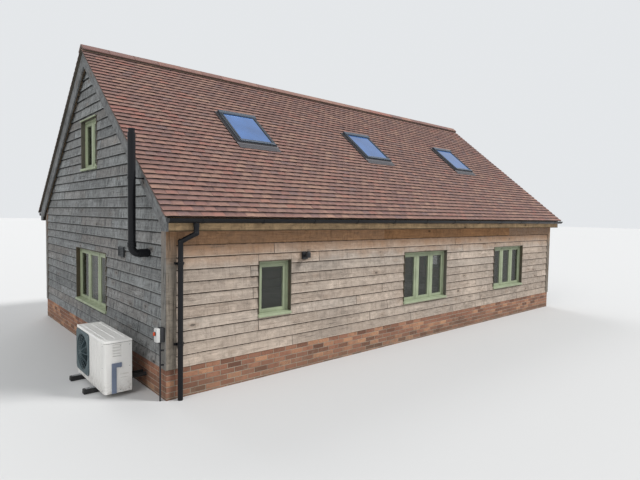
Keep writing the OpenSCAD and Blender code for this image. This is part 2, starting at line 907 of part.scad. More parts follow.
// Lamp with a round hooded head on a short arm
module wall_lamp() {
    plate_w = 110;
    plate_tall = 120;
    plate_t = 22;
    head_d = 84;
    head_tall = 60;
    arm_l = 70;
    out = plate_t + arm_l - 2;
    color("black") on_front() translate([-half_l + lamp_from, board_set, plinth_h + lamp_h]) {
        translate([-plate_w / 2, -plate_t, -plate_tall / 2]) cube([plate_w, plate_t, plate_tall]);
        translate([0, -out, 0]) rotate([-90, 0, 0]) cylinder(d = 40, h = arm_l);
        translate([0, -out, -head_tall / 2]) cylinder(d = head_d, h = head_tall);
        translate([0, -out, head_tall / 2]) sphere(d = head_d);
    }
}

// Rotary isolator on the service corner post
module isolator() {
    rim = 4;
    from = half_w - isolator_from - isolator_w;
    color("white") on_service_gable() translate([from, 0, plinth_h + isolator_h]) {
        translate([0, -isolator_base, 0]) cube([isolator_w, isolator_base, isolator_tall]);
        translate([rim, -isolator_base - isolator_lid, rim])
            cube([isolator_w - 2 * rim, isolator_lid, isolator_tall - 2 * rim]);
        translate([isolator_w / 2, -isolator_base - isolator_lid, isolator_tall * 0.62]) rotate([90, 0, 0]) {
            cylinder(d = 58, h = 10);
            translate([-9, -23, 0]) cube([18, 46, 26]);
        }
    }
}

module isolator_conduit() {
    y = -half_w + isolator_from + isolator_w / 2;
    x = -half_l - conduit_out;
    low_clip = plinth_h + 60;
    color("black") {
        translate([x, y, 0]) cylinder(d = conduit_d, h = plinth_h + isolator_h);
        translate([x, y, plinth_h + isolator_h - 24]) cylinder(d = conduit_d + 8, h = 24);
        for (z = [low_clip, low_clip + 190]) translate([x, y - 14, z]) cube([conduit_out, 28, 16]);
    }
}

// Rounded upright block with its near front corner at the origin, front towards -X
module rounded_block(d, w, tall, r) {
    linear_extrude(tall) rounded_plan(d, w, r);
}

module rounded_plan(d, w, r) {
    translate([r, 0]) square([d - r, w]);
    translate([0, r]) square([d, w - 2 * r]);
    for (y = [r, w - r]) translate([r, y]) circle(r);
}

// Places its children at the casing's near front foot
module at_pump() {
    translate([-pump_x - pump_d, -pump_y, pump_feet]) children();
}

panel = guard_d + 2 * guard_margin;        // side of the guard's square panel
fan_y = pump_w - panel / 2 - 10;
fan_z = casing_h - panel / 2 - 6;
fan_well = 170;
louvre_x = side_set + 14;                  // handle recess in the near side
louvre_z = casing_h - 180;
louvre_w = 110;
louvre_tall = 160;
louvre_deep = 16;
pipe_d = 54;                               // insulated pipes out of the back
pipe_first = 150;
pipe_step = 120;
pipe_z = 130;
coil_deep = 14;                            // coil recess in the back, past the pipes
coil_first = pipe_first + pipe_step + pipe_d;
coil_w = pump_w - coil_first - 60;
coil_foot = 40;
coil_tall = casing_h - 2 * coil_foot;

// Section of a sloping louvre blade, on the floor of its recess
module louvre_blade(step) {
    floor_y = louvre_deep + eps;
    polygon([[floor_y, step * 0.8], [2, step * 0.3], [2, step * 0.12], [floor_y, step * 0.5]]);
}

// Cut of the handle recess, with two slots below it, in the near side
module side_recess() {
    slot_x = louvre_x + louvre_w - 14;
    slot_w = 110;
    slot_deep = 6;
    slot_z = 190;
    translate([louvre_x, -eps, louvre_z]) cube([louvre_w, louvre_deep + eps, louvre_tall]);
    for (z = [slot_z, slot_z + 46]) translate([slot_x, -eps, z]) cube([slot_w, slot_deep + eps, 8]);
}

module side_louvres() {
    blades = 4;
    step = louvre_tall / blades;
    for (i = [0 : blades - 1])
        translate([louvre_x - eps, 0, louvre_z + i * step]) rotate([90, 0, 90])
            linear_extrude(louvre_w + 2 * eps) louvre_blade(step);
}

// Panel joint and pressed grooves of the front, beside the guard
module front_grooves() {
    joint_y = 110;
    joint_deep = 5;
    groove_deep = 3;
    groove_w = 14;
    margin = 24;
    first = joint_y + side_set;
    count = 4;
    step = (fan_y - panel / 2 - first) / count;
    translate([-eps, joint_y, -eps]) cube([joint_deep + eps, 5, casing_h + 2 * eps]);
    tall = casing_h - 2 * margin;
    for (i = [0 : count - 1])
        translate([-eps, first + i * step, margin]) cube([groove_deep + eps, groove_w, tall]);
}

// Coil face at the back: a recess that holds upright fins and guard bars
module coil_recess() {
    translate([pump_d - coil_deep, coil_first, coil_foot]) cube([coil_deep + eps, coil_w, coil_tall]);
}

module coil_fins() {
    fin_step = 30;
    fin_t = 3;
    fin_out = 9;
    bar_t = 6;
    bars = 3;
    fins = floor((coil_w - fin_step) / fin_step);
    translate([pump_d - coil_deep - eps, coil_first, coil_foot]) {
        for (i = [0 : fins])
            translate([0, fin_step / 2 + i * fin_step, -eps]) cube([fin_out, fin_t, coil_tall + 2 * eps]);
        for (i = [1 : bars])
            translate([fin_out - 2, -eps, i * coil_tall / (bars + 1)]) cube([bar_t, coil_w + 2 * eps, 10]);
    }
}

module heat_pump_casing() {
    color("whitesmoke") at_pump() {
        difference() {
            rounded_block(pump_d, pump_w, casing_h, casing_r);
            translate([-eps, fan_y, fan_z]) rotate([0, 90, 0]) cylinder(d = guard_d - 24, h = fan_well + eps);
            front_grooves();
            side_recess();
            coil_recess();
        }
        side_louvres();
        coil_fins();
    }
}

// Section with rounded upper corners
module crowned(w, tall, r) {
    square([w, tall - r]);
    translate([r, 0]) square([w - 2 * r, tall]);
    for (x = [r, w - r]) translate([x, tall - r]) circle(r);
}

// Lid with a rolled rim and round ribs along it
module heat_pump_lid() {
    lip = 8;
    roll = 16;
    rib_up = 5;
    rib_r = 14;
    skin = lid_t - rib_up;
    w = pump_w + 2 * lip;
    d = pump_d + lip;
    rib_side = 60;
    rib_end = 110;
    step = (pump_d - 2 * rib_side) / (lid_ribs - 1);
    color("white") at_pump() translate([-lip, -lip, casing_h]) {
        intersection() {
            rounded_block(d, w, lid_t, casing_r + lip);
            rotate([90, 0, 90]) linear_extrude(d) crowned(w, skin, roll);
            translate([0, w, 0]) rotate([90, 0, 0]) linear_extrude(w) crowned(d, skin, roll);
        }
        for (i = [0 : lid_ribs - 1])
            translate([rib_side + lip + i * step, rib_end, lid_t - rib_r]) rotate([-90, 0, 0])
                cylinder(r = rib_r, h = w - 2 * rib_end);
    }
}

// Fan guard: a square panel with rounded corners, and a dome of rings carried on curved ribs
module heat_pump_guard() {
    ring_bar = 5;
    rib_bar = 8;
    plate = 14;
    r = guard_d / 2;
    dome_r = (r * r + guard_rise * guard_rise) / (2 * guard_rise);
    color("darkslategray") at_pump() translate([0, fan_y, fan_z]) rotate([0, -90, 0]) {
        for (i = [1 : guard_rings - 1]) {
            ring = i * r / guard_rings;
            up = sqrt(dome_r * dome_r - ring * ring) - (dome_r - guard_rise);
            rotate_extrude($fn = 72) translate([ring - ring_bar / 2, up - ring_bar - 1]) square(ring_bar);
        }
        cylinder(d = 70, h = guard_rise - 2);
        for (i = [0 : guard_ribs - 1]) rotate([0, 0, i * 360 / guard_ribs]) rotate([90, 0, 0])
            translate([0, 0, -rib_bar / 2]) linear_extrude(rib_bar) intersection() {
                difference() {
                    translate([0, guard_rise - dome_r]) circle(dome_r, $fn = 96);
                    translate([0, guard_rise - dome_r]) circle(dome_r - rib_bar, $fn = 96);
                }
                translate([20, 1]) square([r - 24, guard_rise]);
            }
        difference() {
            linear_extrude(plate) rounded_panel(panel, 60);
            translate([0, 0, -eps]) cylinder(r = r - 12, h = plate + 2 * eps);
        }
    }
}

module rounded_panel(side, r) {
    half = side / 2;
    square([side, side - 2 * r], center = true);
    square([side - 2 * r, side], center = true);
    for (x = [-half + r, half - r], y = [-half + r, half - r]) translate([x, y]) circle(r);
}

module heat_pump_fan() {
    tip = guard_d / 2 - 40;
    color("slategray") at_pump() translate([fan_well, fan_y, fan_z]) rotate([0, -90, 0]) {
        cylinder(d = 60, h = 50);
        translate([0, 0, 50]) cylinder(d = 130, h = 70);
        for (i = [0 : fan_blades - 1]) rotate([0, 0, i * 360 / fan_blades]) translate([0, 0, 85])
            rotate([28, 0, 0]) linear_extrude(6) polygon([[50, -30], [tip, -75], [tip, 75], [50, 30]]);
    }
}

module heat_pump_valve_cover() {
    color("lightsteelblue") at_pump() translate([side_set, -valve_t, 0]) {
        cube([valve_w, valve_t, valve_tall]);
        translate([0, 0, valve_tall - valve_head]) cube([valve_head_w, valve_t, valve_head]);
    }
}

// Rubber feet under the casing, each with a steel plate at its front
module heat_pump_feet() {
    foot_l = foot_front + pump_d + foot_back;
    color("black") at_pump() for (y = [foot_near, pump_w - foot_far - foot_w])
        translate([-foot_front, y, -pump_feet]) {
            rotate([90, 0, 90]) linear_extrude(foot_l)
                polygon([[0, 0], [foot_w, 0], [foot_w - 10, pump_feet], [10, pump_feet]]);
            translate([30, foot_w / 2 - 25, pump_feet]) cube([foot_front - 30, 50, 6]);
        }
}

// Two insulated pipes from the casing's back into the plinth
module heat_pump_pipes() {
    color("black") for (i = [0, 1])
        translate([-pump_x, -pump_y + pipe_first + i * pipe_step, pump_feet + pipe_z]) rotate([0, 90, 0])
            cylinder(d = pipe_d, h = pump_gap + plinth_set);
}

ground_slab();
brick_plinth();
loft_floor();
front_wall();
back_wall();
service_gable_wall();
far_gable_wall();
corner_posts();
front_boarding();
back_boarding();
service_gable_boarding();
far_gable_boarding();
front_rafters();
back_rafters();
front_tiling();
back_tiling();
ridge_tiles();
fascias_and_soffits();
barge_boards();
front_gutter();
back_gutter();
downpipes();
front_windows();
back_windows();
gable_windows();
window_glass();
gable_window_glass();
roof_windows();
roof_window_glass();
roof_window_flashing();
back_door_frame();
back_door();
soil_pipe();
soil_pipe_bracket();
wall_vent();
wall_lamp();
isolator();
isolator_conduit();
heat_pump_casing();
heat_pump_lid();
heat_pump_guard();
heat_pump_fan();
heat_pump_valve_cover();
heat_pump_feet();
heat_pump_pipes();
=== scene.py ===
"""Dresses the packed outbuilding: boards, tiles, bricks, joinery and fittings, each an operator."""

import math
import random

import bmesh
import bpy
from bpy.props import FloatProperty, FloatVectorProperty, PointerProperty
from mathutils import Matrix, Vector


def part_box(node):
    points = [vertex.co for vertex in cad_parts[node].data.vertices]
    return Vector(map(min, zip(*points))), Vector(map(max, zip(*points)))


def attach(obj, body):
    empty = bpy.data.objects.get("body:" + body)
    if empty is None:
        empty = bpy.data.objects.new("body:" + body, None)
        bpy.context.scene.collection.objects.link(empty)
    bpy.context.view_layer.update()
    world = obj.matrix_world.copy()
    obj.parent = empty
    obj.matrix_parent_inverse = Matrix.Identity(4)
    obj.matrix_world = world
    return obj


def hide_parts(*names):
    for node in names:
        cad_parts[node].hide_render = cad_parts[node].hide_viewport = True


bl_info = {
    "name": "Weatherboarded Outbuilding",
    "version": (1, 0, 0),
    "blender": (4, 5, 0),
    "location": "View3D > Sidebar > Outbuilding",
    "description": "Boards, tiles, bricks, joinery and fittings for the outbuilding's frame",
    "category": "Object",
}

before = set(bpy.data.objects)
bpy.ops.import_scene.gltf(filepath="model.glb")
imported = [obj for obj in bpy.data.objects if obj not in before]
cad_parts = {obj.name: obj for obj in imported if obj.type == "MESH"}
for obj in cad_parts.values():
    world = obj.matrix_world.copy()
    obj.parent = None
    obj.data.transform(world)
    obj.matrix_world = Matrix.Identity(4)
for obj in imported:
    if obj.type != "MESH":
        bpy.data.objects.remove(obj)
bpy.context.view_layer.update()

POST_LOW, POST_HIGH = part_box("corner_posts")
HALF_L, HALF_W = POST_HIGH.x, POST_HIGH.y
PLINTH_TOP = POST_LOW.z
TILING_LOW, TILING_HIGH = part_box("front_tiling")
EAVES_REACH = -TILING_LOW.y
VERGE_X = TILING_HIGH.x
SOFFIT_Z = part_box("fascias_and_soffits")[0].z
BARGE_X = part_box("barge_boards")[1].x


# Settings


def length(name, description, default, low, high):
    """A length in metres that a user may change."""
    return FloatProperty(name=name, description=description, default=default, min=low, max=high,
                         unit="LENGTH", precision=4)


def colour(name, description, default):
    """A colour that a user may change."""
    return FloatVectorProperty(name=name, description=description, default=default, size=3,
                               subtype="COLOR", min=0.0, max=1.0)


def angle(name, description, degrees, **limits):
    """An angle that a user may change."""
    return FloatProperty(name=name, description=description, default=math.radians(degrees),
                         subtype="ANGLE", **limits)


class BoardSettings(bpy.types.PropertyGroup):
    """Sizes of the feather-edge boards."""

    cover: length("Course", "Height of board that shows in each course", 0.161, 0.1, 0.2)
    butt: length("Lower edge", "Thickness of a board at its lower edge", 0.032, 0.02, 0.04)
    tip: length("Upper edge", "Thickness of a board under the next one", 0.014, 0.006, 0.02)
    set_back: length("Set back", "Depth of the boards behind the posts", 0.005, 0.0, 0.02)
    joint: length("Joint", "Gap where two boards meet end to end", 0.003, 0.0, 0.01)
    longest: length("Longest", "Longest board on a long wall", 4.8, 2.0, 5.4)
    shortest: length("Shortest", "Shortest board on a long wall", 2.8, 0.8, 3.6)
    stud_step: length("Stud spacing", "Spacing of the nail lines", 0.6, 0.3, 0.8)
    unevenness: length("Unevenness", "How far a sawn lower edge wanders", 0.0045, 0.0, 0.008)


class RoofSettings(bpy.types.PropertyGroup):
    """Sizes of the tiled slopes."""

    pitch: angle("Pitch", "Angle of both slopes", 39, min=math.radians(30), max=math.radians(50))
    eaves_z: length("Eaves", "Height of the tile edge at the eaves", 2.39, 1.5, 4.0)
    tiling: length("Tiling", "Thickness of the tiling, square to the slope", 0.04, 0.03, 0.06)
    deck: length("Deck", "Thickness of the rafters and boarding", 0.15, 0.1, 0.25)
    gauge: length("Gauge", "Length of tile that shows in each course", 0.11, 0.08, 0.14)
    tile_width: length("Tile width", "Width of one plain tile", 0.165, 0.14, 0.19)
    tile: length("Tile", "Thickness of one plain tile", 0.014, 0.01, 0.02)
    camber: length("Camber", "Rise of a tile's middle", 0.0035, 0.0, 0.008)
    gap: length("Tile gap", "Gap between neighbouring tiles", 0.003, 0.0, 0.01)
    ridge_tile: length("Ridge tile", "Length of one ridge tile", 0.45, 0.3, 0.6)
    ridge_wing: length("Ridge wing", "Width of a ridge tile's wing", 0.185, 0.15, 0.25)


class BrickSettings(bpy.types.PropertyGroup):
    """Sizes of the plinth's bricks."""

    brick_length: length("Length", "Length of a brick", 0.215, 0.18, 0.25)
    brick_height: length("Height", "Height of a brick", 0.065, 0.05, 0.08)
    joint: length("Joint", "Width of a mortar joint", 0.01, 0.006, 0.015)
    proud: length("Proud", "How far bricks stand out of the mortar", 0.004, 0.001, 0.005)


class JoinerySettings(bpy.types.PropertyGroup):
    """Sizes of the windows and the door."""

    window_set: length("Window set", "Depth of a window's face behind the posts", 0.07, 0.05, 0.1)
    frame_face: length("Frame face", "Face width of outer frames and mullions", 0.05, 0.03, 0.08)
    frame_deep: length("Frame depth", "Depth of an outer frame", 0.065, 0.04, 0.08)
    sash_face: length("Casement face", "Face width of a casement's rails", 0.052, 0.03, 0.07)
    sash_deep: length("Casement depth", "Depth of a casement", 0.045, 0.03, 0.06)
    sash_set: length("Casement set", "Depth of a casement behind its frame", 0.008, 0.0, 0.02)
    sill: length("Sill", "Height of a sill's front edge", 0.045, 0.03, 0.07)
    sill_out: length("Sill reach", "Reach of a sill past the posts' face", 0.02, 0.0, 0.06)
    arris: length("Arris", "Rounding of the joinery's edges", 0.003, 0.001, 0.006)


class FinishSettings(bpy.types.PropertyGroup):
    """Colours of the finishes."""

    front_board: colour("Front boards", "Sun-bleached boards", (0.475, 0.392, 0.322))
    # The gable boards' grey is in part painted shade
    gable_board: colour("Gable boards", "Grey weathered boards", (0.240, 0.250, 0.250))
    fresh_board: colour("Sheltered boards", "Boards kept dry by the eaves", (0.46, 0.235, 0.105))
    fascia: colour("Fascia", "Stained fascia and soffit", (0.48, 0.33, 0.185))
    barge: colour("Barge boards", "Weathered barge boards", (0.180, 0.185, 0.186))
    post: colour("Posts", "Weathered corner posts", (0.225, 0.195, 0.158))
    inner_timber: colour("Inner timber", "Sawn softwood inside", (0.50, 0.37, 0.24))
    tile_dark: colour("Dark tile", "Darkest clay tiles", (0.100, 0.062, 0.066))
    tile_mid: colour("Brown tile", "Most of the clay tiles", (0.275, 0.158, 0.130))
    tile_pale: colour("Pale tile", "Palest clay tiles", (0.47, 0.300, 0.210))
    brick: colour("Brick", "Brown-red brick", (0.285, 0.130, 0.080))
    mortar: colour("Mortar", "Lime mortar", (0.34, 0.295, 0.23))
    joinery: colour("Joinery", "Sage green paint", (0.335, 0.382, 0.248))
    # The linings' dark colour is painted shade in the openings
    reveal: colour("Linings", "Dark stained linings of the openings", (0.075, 0.066, 0.042))
    black: colour("Black goods", "Black pipes and gutters", (0.0075, 0.008, 0.010))
    cladding: colour("Roof window", "Dark grey coated metal", (0.040, 0.050, 0.062))
    hood: colour("Roof window hood", "Hood and lower cover", (0.070, 0.092, 0.125))
    lead: colour("Flashing", "Dull grey flashing", (0.095, 0.092, 0.10))
    concrete: colour("Concrete", "Ground slab", (0.46, 0.45, 0.42))
    casing: colour("Heat pump", "Off-white powder coat", (0.83, 0.815, 0.78))
    guard: colour("Fan guard", "Dark teal plastic", (0.068, 0.105, 0.116))
    valve: colour("Valve cover", "Blue-grey plastic", (0.150, 0.185, 0.262))
    knob: colour("Isolator knob", "Orange-red knob", (0.62, 0.085, 0.022))


class StudioSettings(bpy.types.PropertyGroup):
    """Camera, floor and lights."""

    camera_at: FloatVectorProperty(name="Camera", description="Place of the camera", size=3,
                                   default=(-8.022, -9.147, 2.430), subtype="XYZ", unit="LENGTH")
    yaw: angle("Yaw", "Turn from +Y towards +X", 41.109)
    tilt: angle("Tilt", "Angle above the horizon", -3.002)
    roll: angle("Roll", "Turn about the view", 0.994)
    lens: FloatProperty(name="Lens", description="Focal length in millimetres", default=27.11,
                        min=10, max=120)
    floor: colour("Floor", "Pale studio floor", (0.63, 0.63, 0.625))
    backdrop: colour("Backdrop", "What the camera, glass and metal see", (0.78, 0.80, 0.82))
    key: FloatProperty(name="Key", description="Strength of the key lamp", default=2.3, min=0)
    fill: FloatProperty(name="Fill", description="Strength of the world's light", default=0.45, min=0)


def settings(name):
    """One group of the scene's settings."""
    return getattr(bpy.context.scene, "outbuilding_" + name)


# Node materials


class Shader:
    """A Principled material in the making: its nodes, and the colour painted so far."""

    def __init__(self, name):
        self.material = bpy.data.materials.new(name)
        self.material.use_nodes = True
        self.tree = self.material.node_tree
        self.tree.nodes.clear()
        self.surface = self.tree.nodes.new("ShaderNodeBsdfPrincipled")
        output = self.tree.nodes.new("ShaderNodeOutputMaterial")
        self.tree.links.new(self.surface.outputs[0], output.inputs[0])
        self.place = self.tree.nodes.new("ShaderNodeTexCoord").outputs["Object"]
        self.tone = None

    def put(self, value, socket):
        """Links a node's output to a socket, or writes a plain value on it."""
        if isinstance(value, bpy.types.NodeSocket):
            self.tree.links.new(value, socket)
        elif hasattr(value, "__len__") and socket.type == "RGBA" and len(value) == 3:
            socket.default_value = (*value, 1.0)
        else:
            socket.default_value = value

    def add(self, kind, inputs, output=0, **options):
        """Adds a node, fills its inputs and returns one of its outputs."""
        node = self.tree.nodes.new(kind)
        for key, value in options.items():
            setattr(node, key, value)
        for key, value in inputs.items():
            self.put(value, node.inputs[key])
        return node.outputs[output]

    def math(self, operation, a, b=0.0):
        return self.add("ShaderNodeMath", {0: a, 1: b}, operation=operation)

    def times(self, a, b):
        return self.math("MULTIPLY", a, b)

    def plus(self, a, b):
        return self.math("ADD", a, b)

    def vector(self, operation, a, b=(0, 0, 0), output=0):
        return self.add("ShaderNodeVectorMath", {0: a, 1: b}, output, operation=operation)

    def split(self, source):
        node = self.tree.nodes.new("ShaderNodeSeparateXYZ")
        self.put(source, node.inputs[0])
        return node.outputs

    def axis(self, index):
        """One of the place's coordinates."""
        return self.split(self.place)[index]

    def mapped(self, source, scale=(1, 1, 1), turn=(0, 0, 0)):
        return self.add("ShaderNodeMapping", {"Vector": source, "Scale": scale, "Rotation": turn})

    def attribute(self, name):
        """A number kept at the vertices of a piece."""
        return self.add("ShaderNodeAttribute", {}, 2, attribute_name=name)

    def seed(self):
        """Three random numbers, the same all over one board, tile or brick."""
        return self.add("ShaderNodeTexWhiteNoise", {"W": self.attribute("seed")}, 1, noise_dimensions="1D")

    def scattered(self, source, reach):
        """Coordinates moved by another random amount on each board, tile or brick."""
        return self.vector("ADD", source, self.vector("MULTIPLY", self.seed(), reach))

    def noise(self, source, scale, detail=4.0, rough=0.6, distortion=0.0):
        return self.add("ShaderNodeTexNoise", {"Vector": source, "Scale": scale, "Detail": detail,
                                               "Roughness": rough, "Distortion": distortion})

    def grain(self, source, along, across, detail, rough=0.6, distortion=0.0):
        """Noise with so many waves a metre along X, and across it."""
        return self.noise(self.mapped(source, (along, across, across)), 1.0, detail, rough, distortion)

    def runs(self, across, down, detail=4.0, rough=0.6):
        """Noise drawn out down the piece, as rain and a brush leave it."""
        return self.noise(self.mapped(self.place, (across, across, down)), 1.0, detail, rough)

    def cells(self, source, output):
        """The distance to the nearest of scattered points, or that point's random colour."""
        return self.add("ShaderNodeTexVoronoi", {"Vector": source, "Scale": 1.0}, output)

    def spread(self, amount, low, high):
        """Maps 0..1 to low..high."""
        return self.add("ShaderNodeMapRange", {0: amount, 3: low, 4: high})

    def window(self, amount, start, end, low=0.0, high=1.0):
        """Maps start..end to low..high and stops there."""
        return self.add("ShaderNodeMapRange", {0: amount, 1: start, 2: end, 3: low, 4: high})

    def ramp(self, amount, stops):
        node = self.tree.nodes.new("ShaderNodeValToRGB")
        points = node.color_ramp.elements
        while len(points) < len(stops):
            points.new(0.5)
        for point, (where, tone) in zip(points, stops):
            point.position = where
            point.color = (*tone, 1.0)
        self.put(amount, node.inputs[0])
        return node.outputs[0]

    def blend(self, amount, a, b, mode="MIX"):
        return self.add("ShaderNodeMix", {0: amount, 6: a, 7: b}, 2, data_type="RGBA", blend_type=mode)

    def over(self, amount, tone, mode="MIX"):
        """Lays a colour over what is painted so far."""
        self.tone = self.blend(amount, self.tone, tone, mode)

    def scale(self, factor):
        """Makes what is painted so far lighter or darker."""
        self.over(1.0, factor, "MULTIPLY")

    def cloudy(self, amount, tone, dark, light, middle=0.55, top=0.8):
        """Paints a colour that drifts between a darker and a lighter shade of itself."""
        self.tone = self.ramp(amount, [(0.3, shade(tone, dark)), (middle, tone), (top, shade(tone, light))])

    def finish(self, rough, height=None, strength=0.3, distance=0.002, **sockets):
        """Sets the colour, roughness, relief and any other sockets, and returns the material."""
        self.put(self.tone, self.surface.inputs["Base Color"])
        self.put(rough, self.surface.inputs["Roughness"])
        for name, value in sockets.items():
            self.put(value, self.surface.inputs[name.replace("_", " ")])
        if height is not None:
            relief = {"Strength": strength, "Distance": distance, "Height": height}
            self.put(self.add("ShaderNodeBump", relief), self.surface.inputs["Normal"])
        return self.material


def shade(tone, factor):
    """A colour made lighter or darker."""
    return tuple(min(1.0, c * factor) for c in tone)


def mixed(a, b, amount):
    """A colour between two others."""
    return tuple(x + (y - x) * amount for x, y in zip(a, b))


# Fixed tones of dirt, damp and old wood, and of painted shade and shadow
HEARTWOOD = (0.30, 0.17, 0.09)
SILVER = (0.30, 0.31, 0.30)
ASH_DARK, ASH_PALE = (0.11, 0.11, 0.105), (0.28, 0.28, 0.27)
DULL_GREY = (0.22, 0.21, 0.20)
# Tone of the damp and painted shade under each board's lap
DAMP_AND_SHADE = (0.12, 0.09, 0.07)
# Brown of the painted shadow line under each board's lap
SHADOW_BROWN = (0.24, 0.12, 0.06)
RED_TILE, BLUE_TILE = (0.38, 0.150, 0.115), (0.16, 0.125, 0.135)
LICHEN = (0.25, 0.235, 0.145)
# Painted shade under each tile's lap and on its butts
TILE_SHADE = (0.022, 0.016, 0.019)
ORANGE_BRICK, BLOOM, GREEN_DAMP = (0.60, 0.33, 0.18), (0.58, 0.46, 0.36), (0.16, 0.12, 0.075)
PAINT_GRIME, ROAD_DUST, SOOT = (0.12, 0.11, 0.07), (0.34, 0.32, 0.29), (0.16, 0.14, 0.11)
# Splashed mud, painted shade in the fan well, and the painted shadow line under the heat pump's lid
MUD, WELL_SHADE, LID_SHADOW = (0.20, 0.16, 0.115), (0.012, 0.020, 0.023), (0.05, 0.05, 0.05)


def grain_frame(s, along, rake, seeded):
    """Object coordinates turned so that X runs along the grain, shifted for each board."""
    place = s.place
    if rake:
        x, y, z = s.split(place)
        place = s.add("ShaderNodeCombineXYZ", {0: x, 1: s.math("ABSOLUTE", y), 2: z})
        place = s.mapped(place, turn=(rake, 0, 0))
    quarter = math.radians(90)
    place = s.mapped(place, turn={"X": (0, 0, 0), "Y": (0, 0, -quarter), "Z": (0, quarter, 0)}[along])
    return s.scattered(place, (37.0, 23.0, 11.0)) if seeded else place


def silvered(s, v, cloud, tone, brown, warm):
    """The skin of old boards: grain, patches, and wide areas that are lighter or darker."""
    streak = s.grain(v, 1.1, 38, 6, 0.62, 0.25)
    s.tone = s.ramp(streak, [(0.25, shade(tone, 0.56)), (0.43, shade(tone, 0.88)), (0.58, tone),
                             (0.78, shade(tone, 1.26))])
    s.scale(s.window(s.grain(v, 6.5, 11, 5, 0.68, 0.6), 0.30, 0.70, 0.62, 1.38))
    s.over(s.window(cloud, 0.45, 0.75, 0.0, warm), brown)
    wide = s.noise(s.place, 0.9, 4, 0.55)
    s.over(s.window(wide, 0.46, 0.70, 0.0, 0.42), shade(mixed(tone, DULL_GREY, 0.35), 0.62))
    s.over(s.window(wide, 0.46, 0.32, 0.0, 0.45), shade(tone, 1.30))
    return streak


def board_by_board(s, tone, brown, spread):
    """Makes each board lighter, darker, browner or greyer than its neighbours."""
    r, g, b = s.split(s.seed())
    s.scale(s.spread(r, 1.0 - spread, 1.0 + spread))
    s.over(s.times(s.math("POWER", g, 5.0), 0.35), brown)
    s.over(s.times(s.math("POWER", b, 4.0), 0.40), mixed(tone, SILVER, 0.8))


def kept_dry(s, cloud, streak, low, high, tone, amount):
    """Fresher wood between two heights under the eaves, but for faces that look out past the posts."""
    dry = s.plus(s.axis(2), s.window(cloud, 0.3, 0.7, -0.09, 0.09))
    s.over(s.window(dry, low, high, 0.0, amount), s.blend(streak, shade(tone, 0.75), tone))
    exposed = s.math("GREATER_THAN", s.math("ABSOLUTE", s.axis(0)), HALF_L - 0.004)
    s.over(s.times(exposed, 0.75), s.blend(streak, ASH_DARK, ASH_PALE))


def knotted(s, v, tone, brown, share):
    """Dark knots in brown rings, at a share of scattered points."""
    points = s.mapped(v, (3.0, 6.6, 6.6))
    near = s.cells(points, 0)
    chosen = s.math("LESS_THAN", s.split(s.cells(points, 1))[0], share)
    s.over(s.times(s.window(near, 0.13, 0.40, 0.5, 0.0), chosen), shade(brown, 0.75))
    s.over(s.times(s.times(s.window(near, 0.08, 0.15, 1.0, 0.0), chosen), 0.85), shade(tone, 0.12))


def checked(s, v, cloud, tone, cracks):
    """Drying checks along the grain."""
    check = s.window(s.grain(v, 2.0, 75, 2, 0.5, 0.4), 0.66 - cracks * 0.06, 0.72 - cracks * 0.06)
    check = s.times(check, s.window(cloud, 0.63 - cracks * 0.3, 0.70 - cracks * 0.15))
    s.over(s.times(check, cracks), shade(tone, 0.14))
    return check


def rain_marked(s, v, tone, drips):
    """Black runs across the boards in two widths, and black specks."""
    for waves, tall, share in ((38, 5.0, 0.9), (15, 3.6, 0.8)):
        mark = s.window(s.grain(v, waves, tall, 3, 0.65, 0.15), 0.525, 0.615)
        mark = s.times(mark, s.window(s.noise(v, waves / 6, 3), 0.44, 0.54))
        s.over(s.times(mark, drips * share), shade(tone, 0.22))
    speck = s.window(s.grain(v, 30.0, 42.0, 3, 0.7), 0.57, 0.64)
    speck = s.times(speck, s.window(s.noise(v, 2.6, 3), 0.44, 0.56))
    s.over(s.times(speck, drips * 0.9), shade(tone, 0.18))


def lapped(s, v, cloud, tone, cover, lap, warm):
    """Damp and painted shade under each lap, a painted shadow line just under the lap's edge, a pale lower
    edge on each board of painted highlight and wear, and dark board ends.
    """

    def up_the_course(z):
        return s.math("FRACT", s.math("DIVIDE", s.math("SUBTRACT", z, PLINTH_TOP), cover))

    ragged = s.window(s.noise(v, 9.0, 4, 0.7), 0.25, 0.75, -0.010, 0.010)
    up, true_up = up_the_course(s.plus(s.axis(2), ragged)), up_the_course(s.axis(2))
    # The upper part of each board, under the next lap, darkened as damp and as painted shade
    damp_and_shade = s.times(s.window(up, 0.60, 1.0), s.window(cloud, 0.3, 0.7, 0.3, 0.8))
    s.over(s.times(damp_and_shade, 0.5), shade(mixed(tone, DAMP_AND_SHADE, 0.5), 0.75))
    # A painted shadow line just under each lap's edge
    line = s.math("MAXIMUM", s.window(up, 1.0 - lap, 1.02 - lap * 0.65), s.window(true_up, 0.94, 0.98))
    s.over(s.times(line, 0.95), shade(mixed(tone, SHADOW_BROWN, warm * 2), 0.12))
    # A paler lower edge on each board: painted highlight and wear
    s.over(s.window(true_up, 0.09, 0.03, 0.0, 0.40), shade(tone, 1.35))
    end = s.math("MINIMUM", s.attribute("left"), s.attribute("right"))
    s.over(s.window(end, 0.007, 0.002, 0.0, 0.65), shade(tone, 0.12))


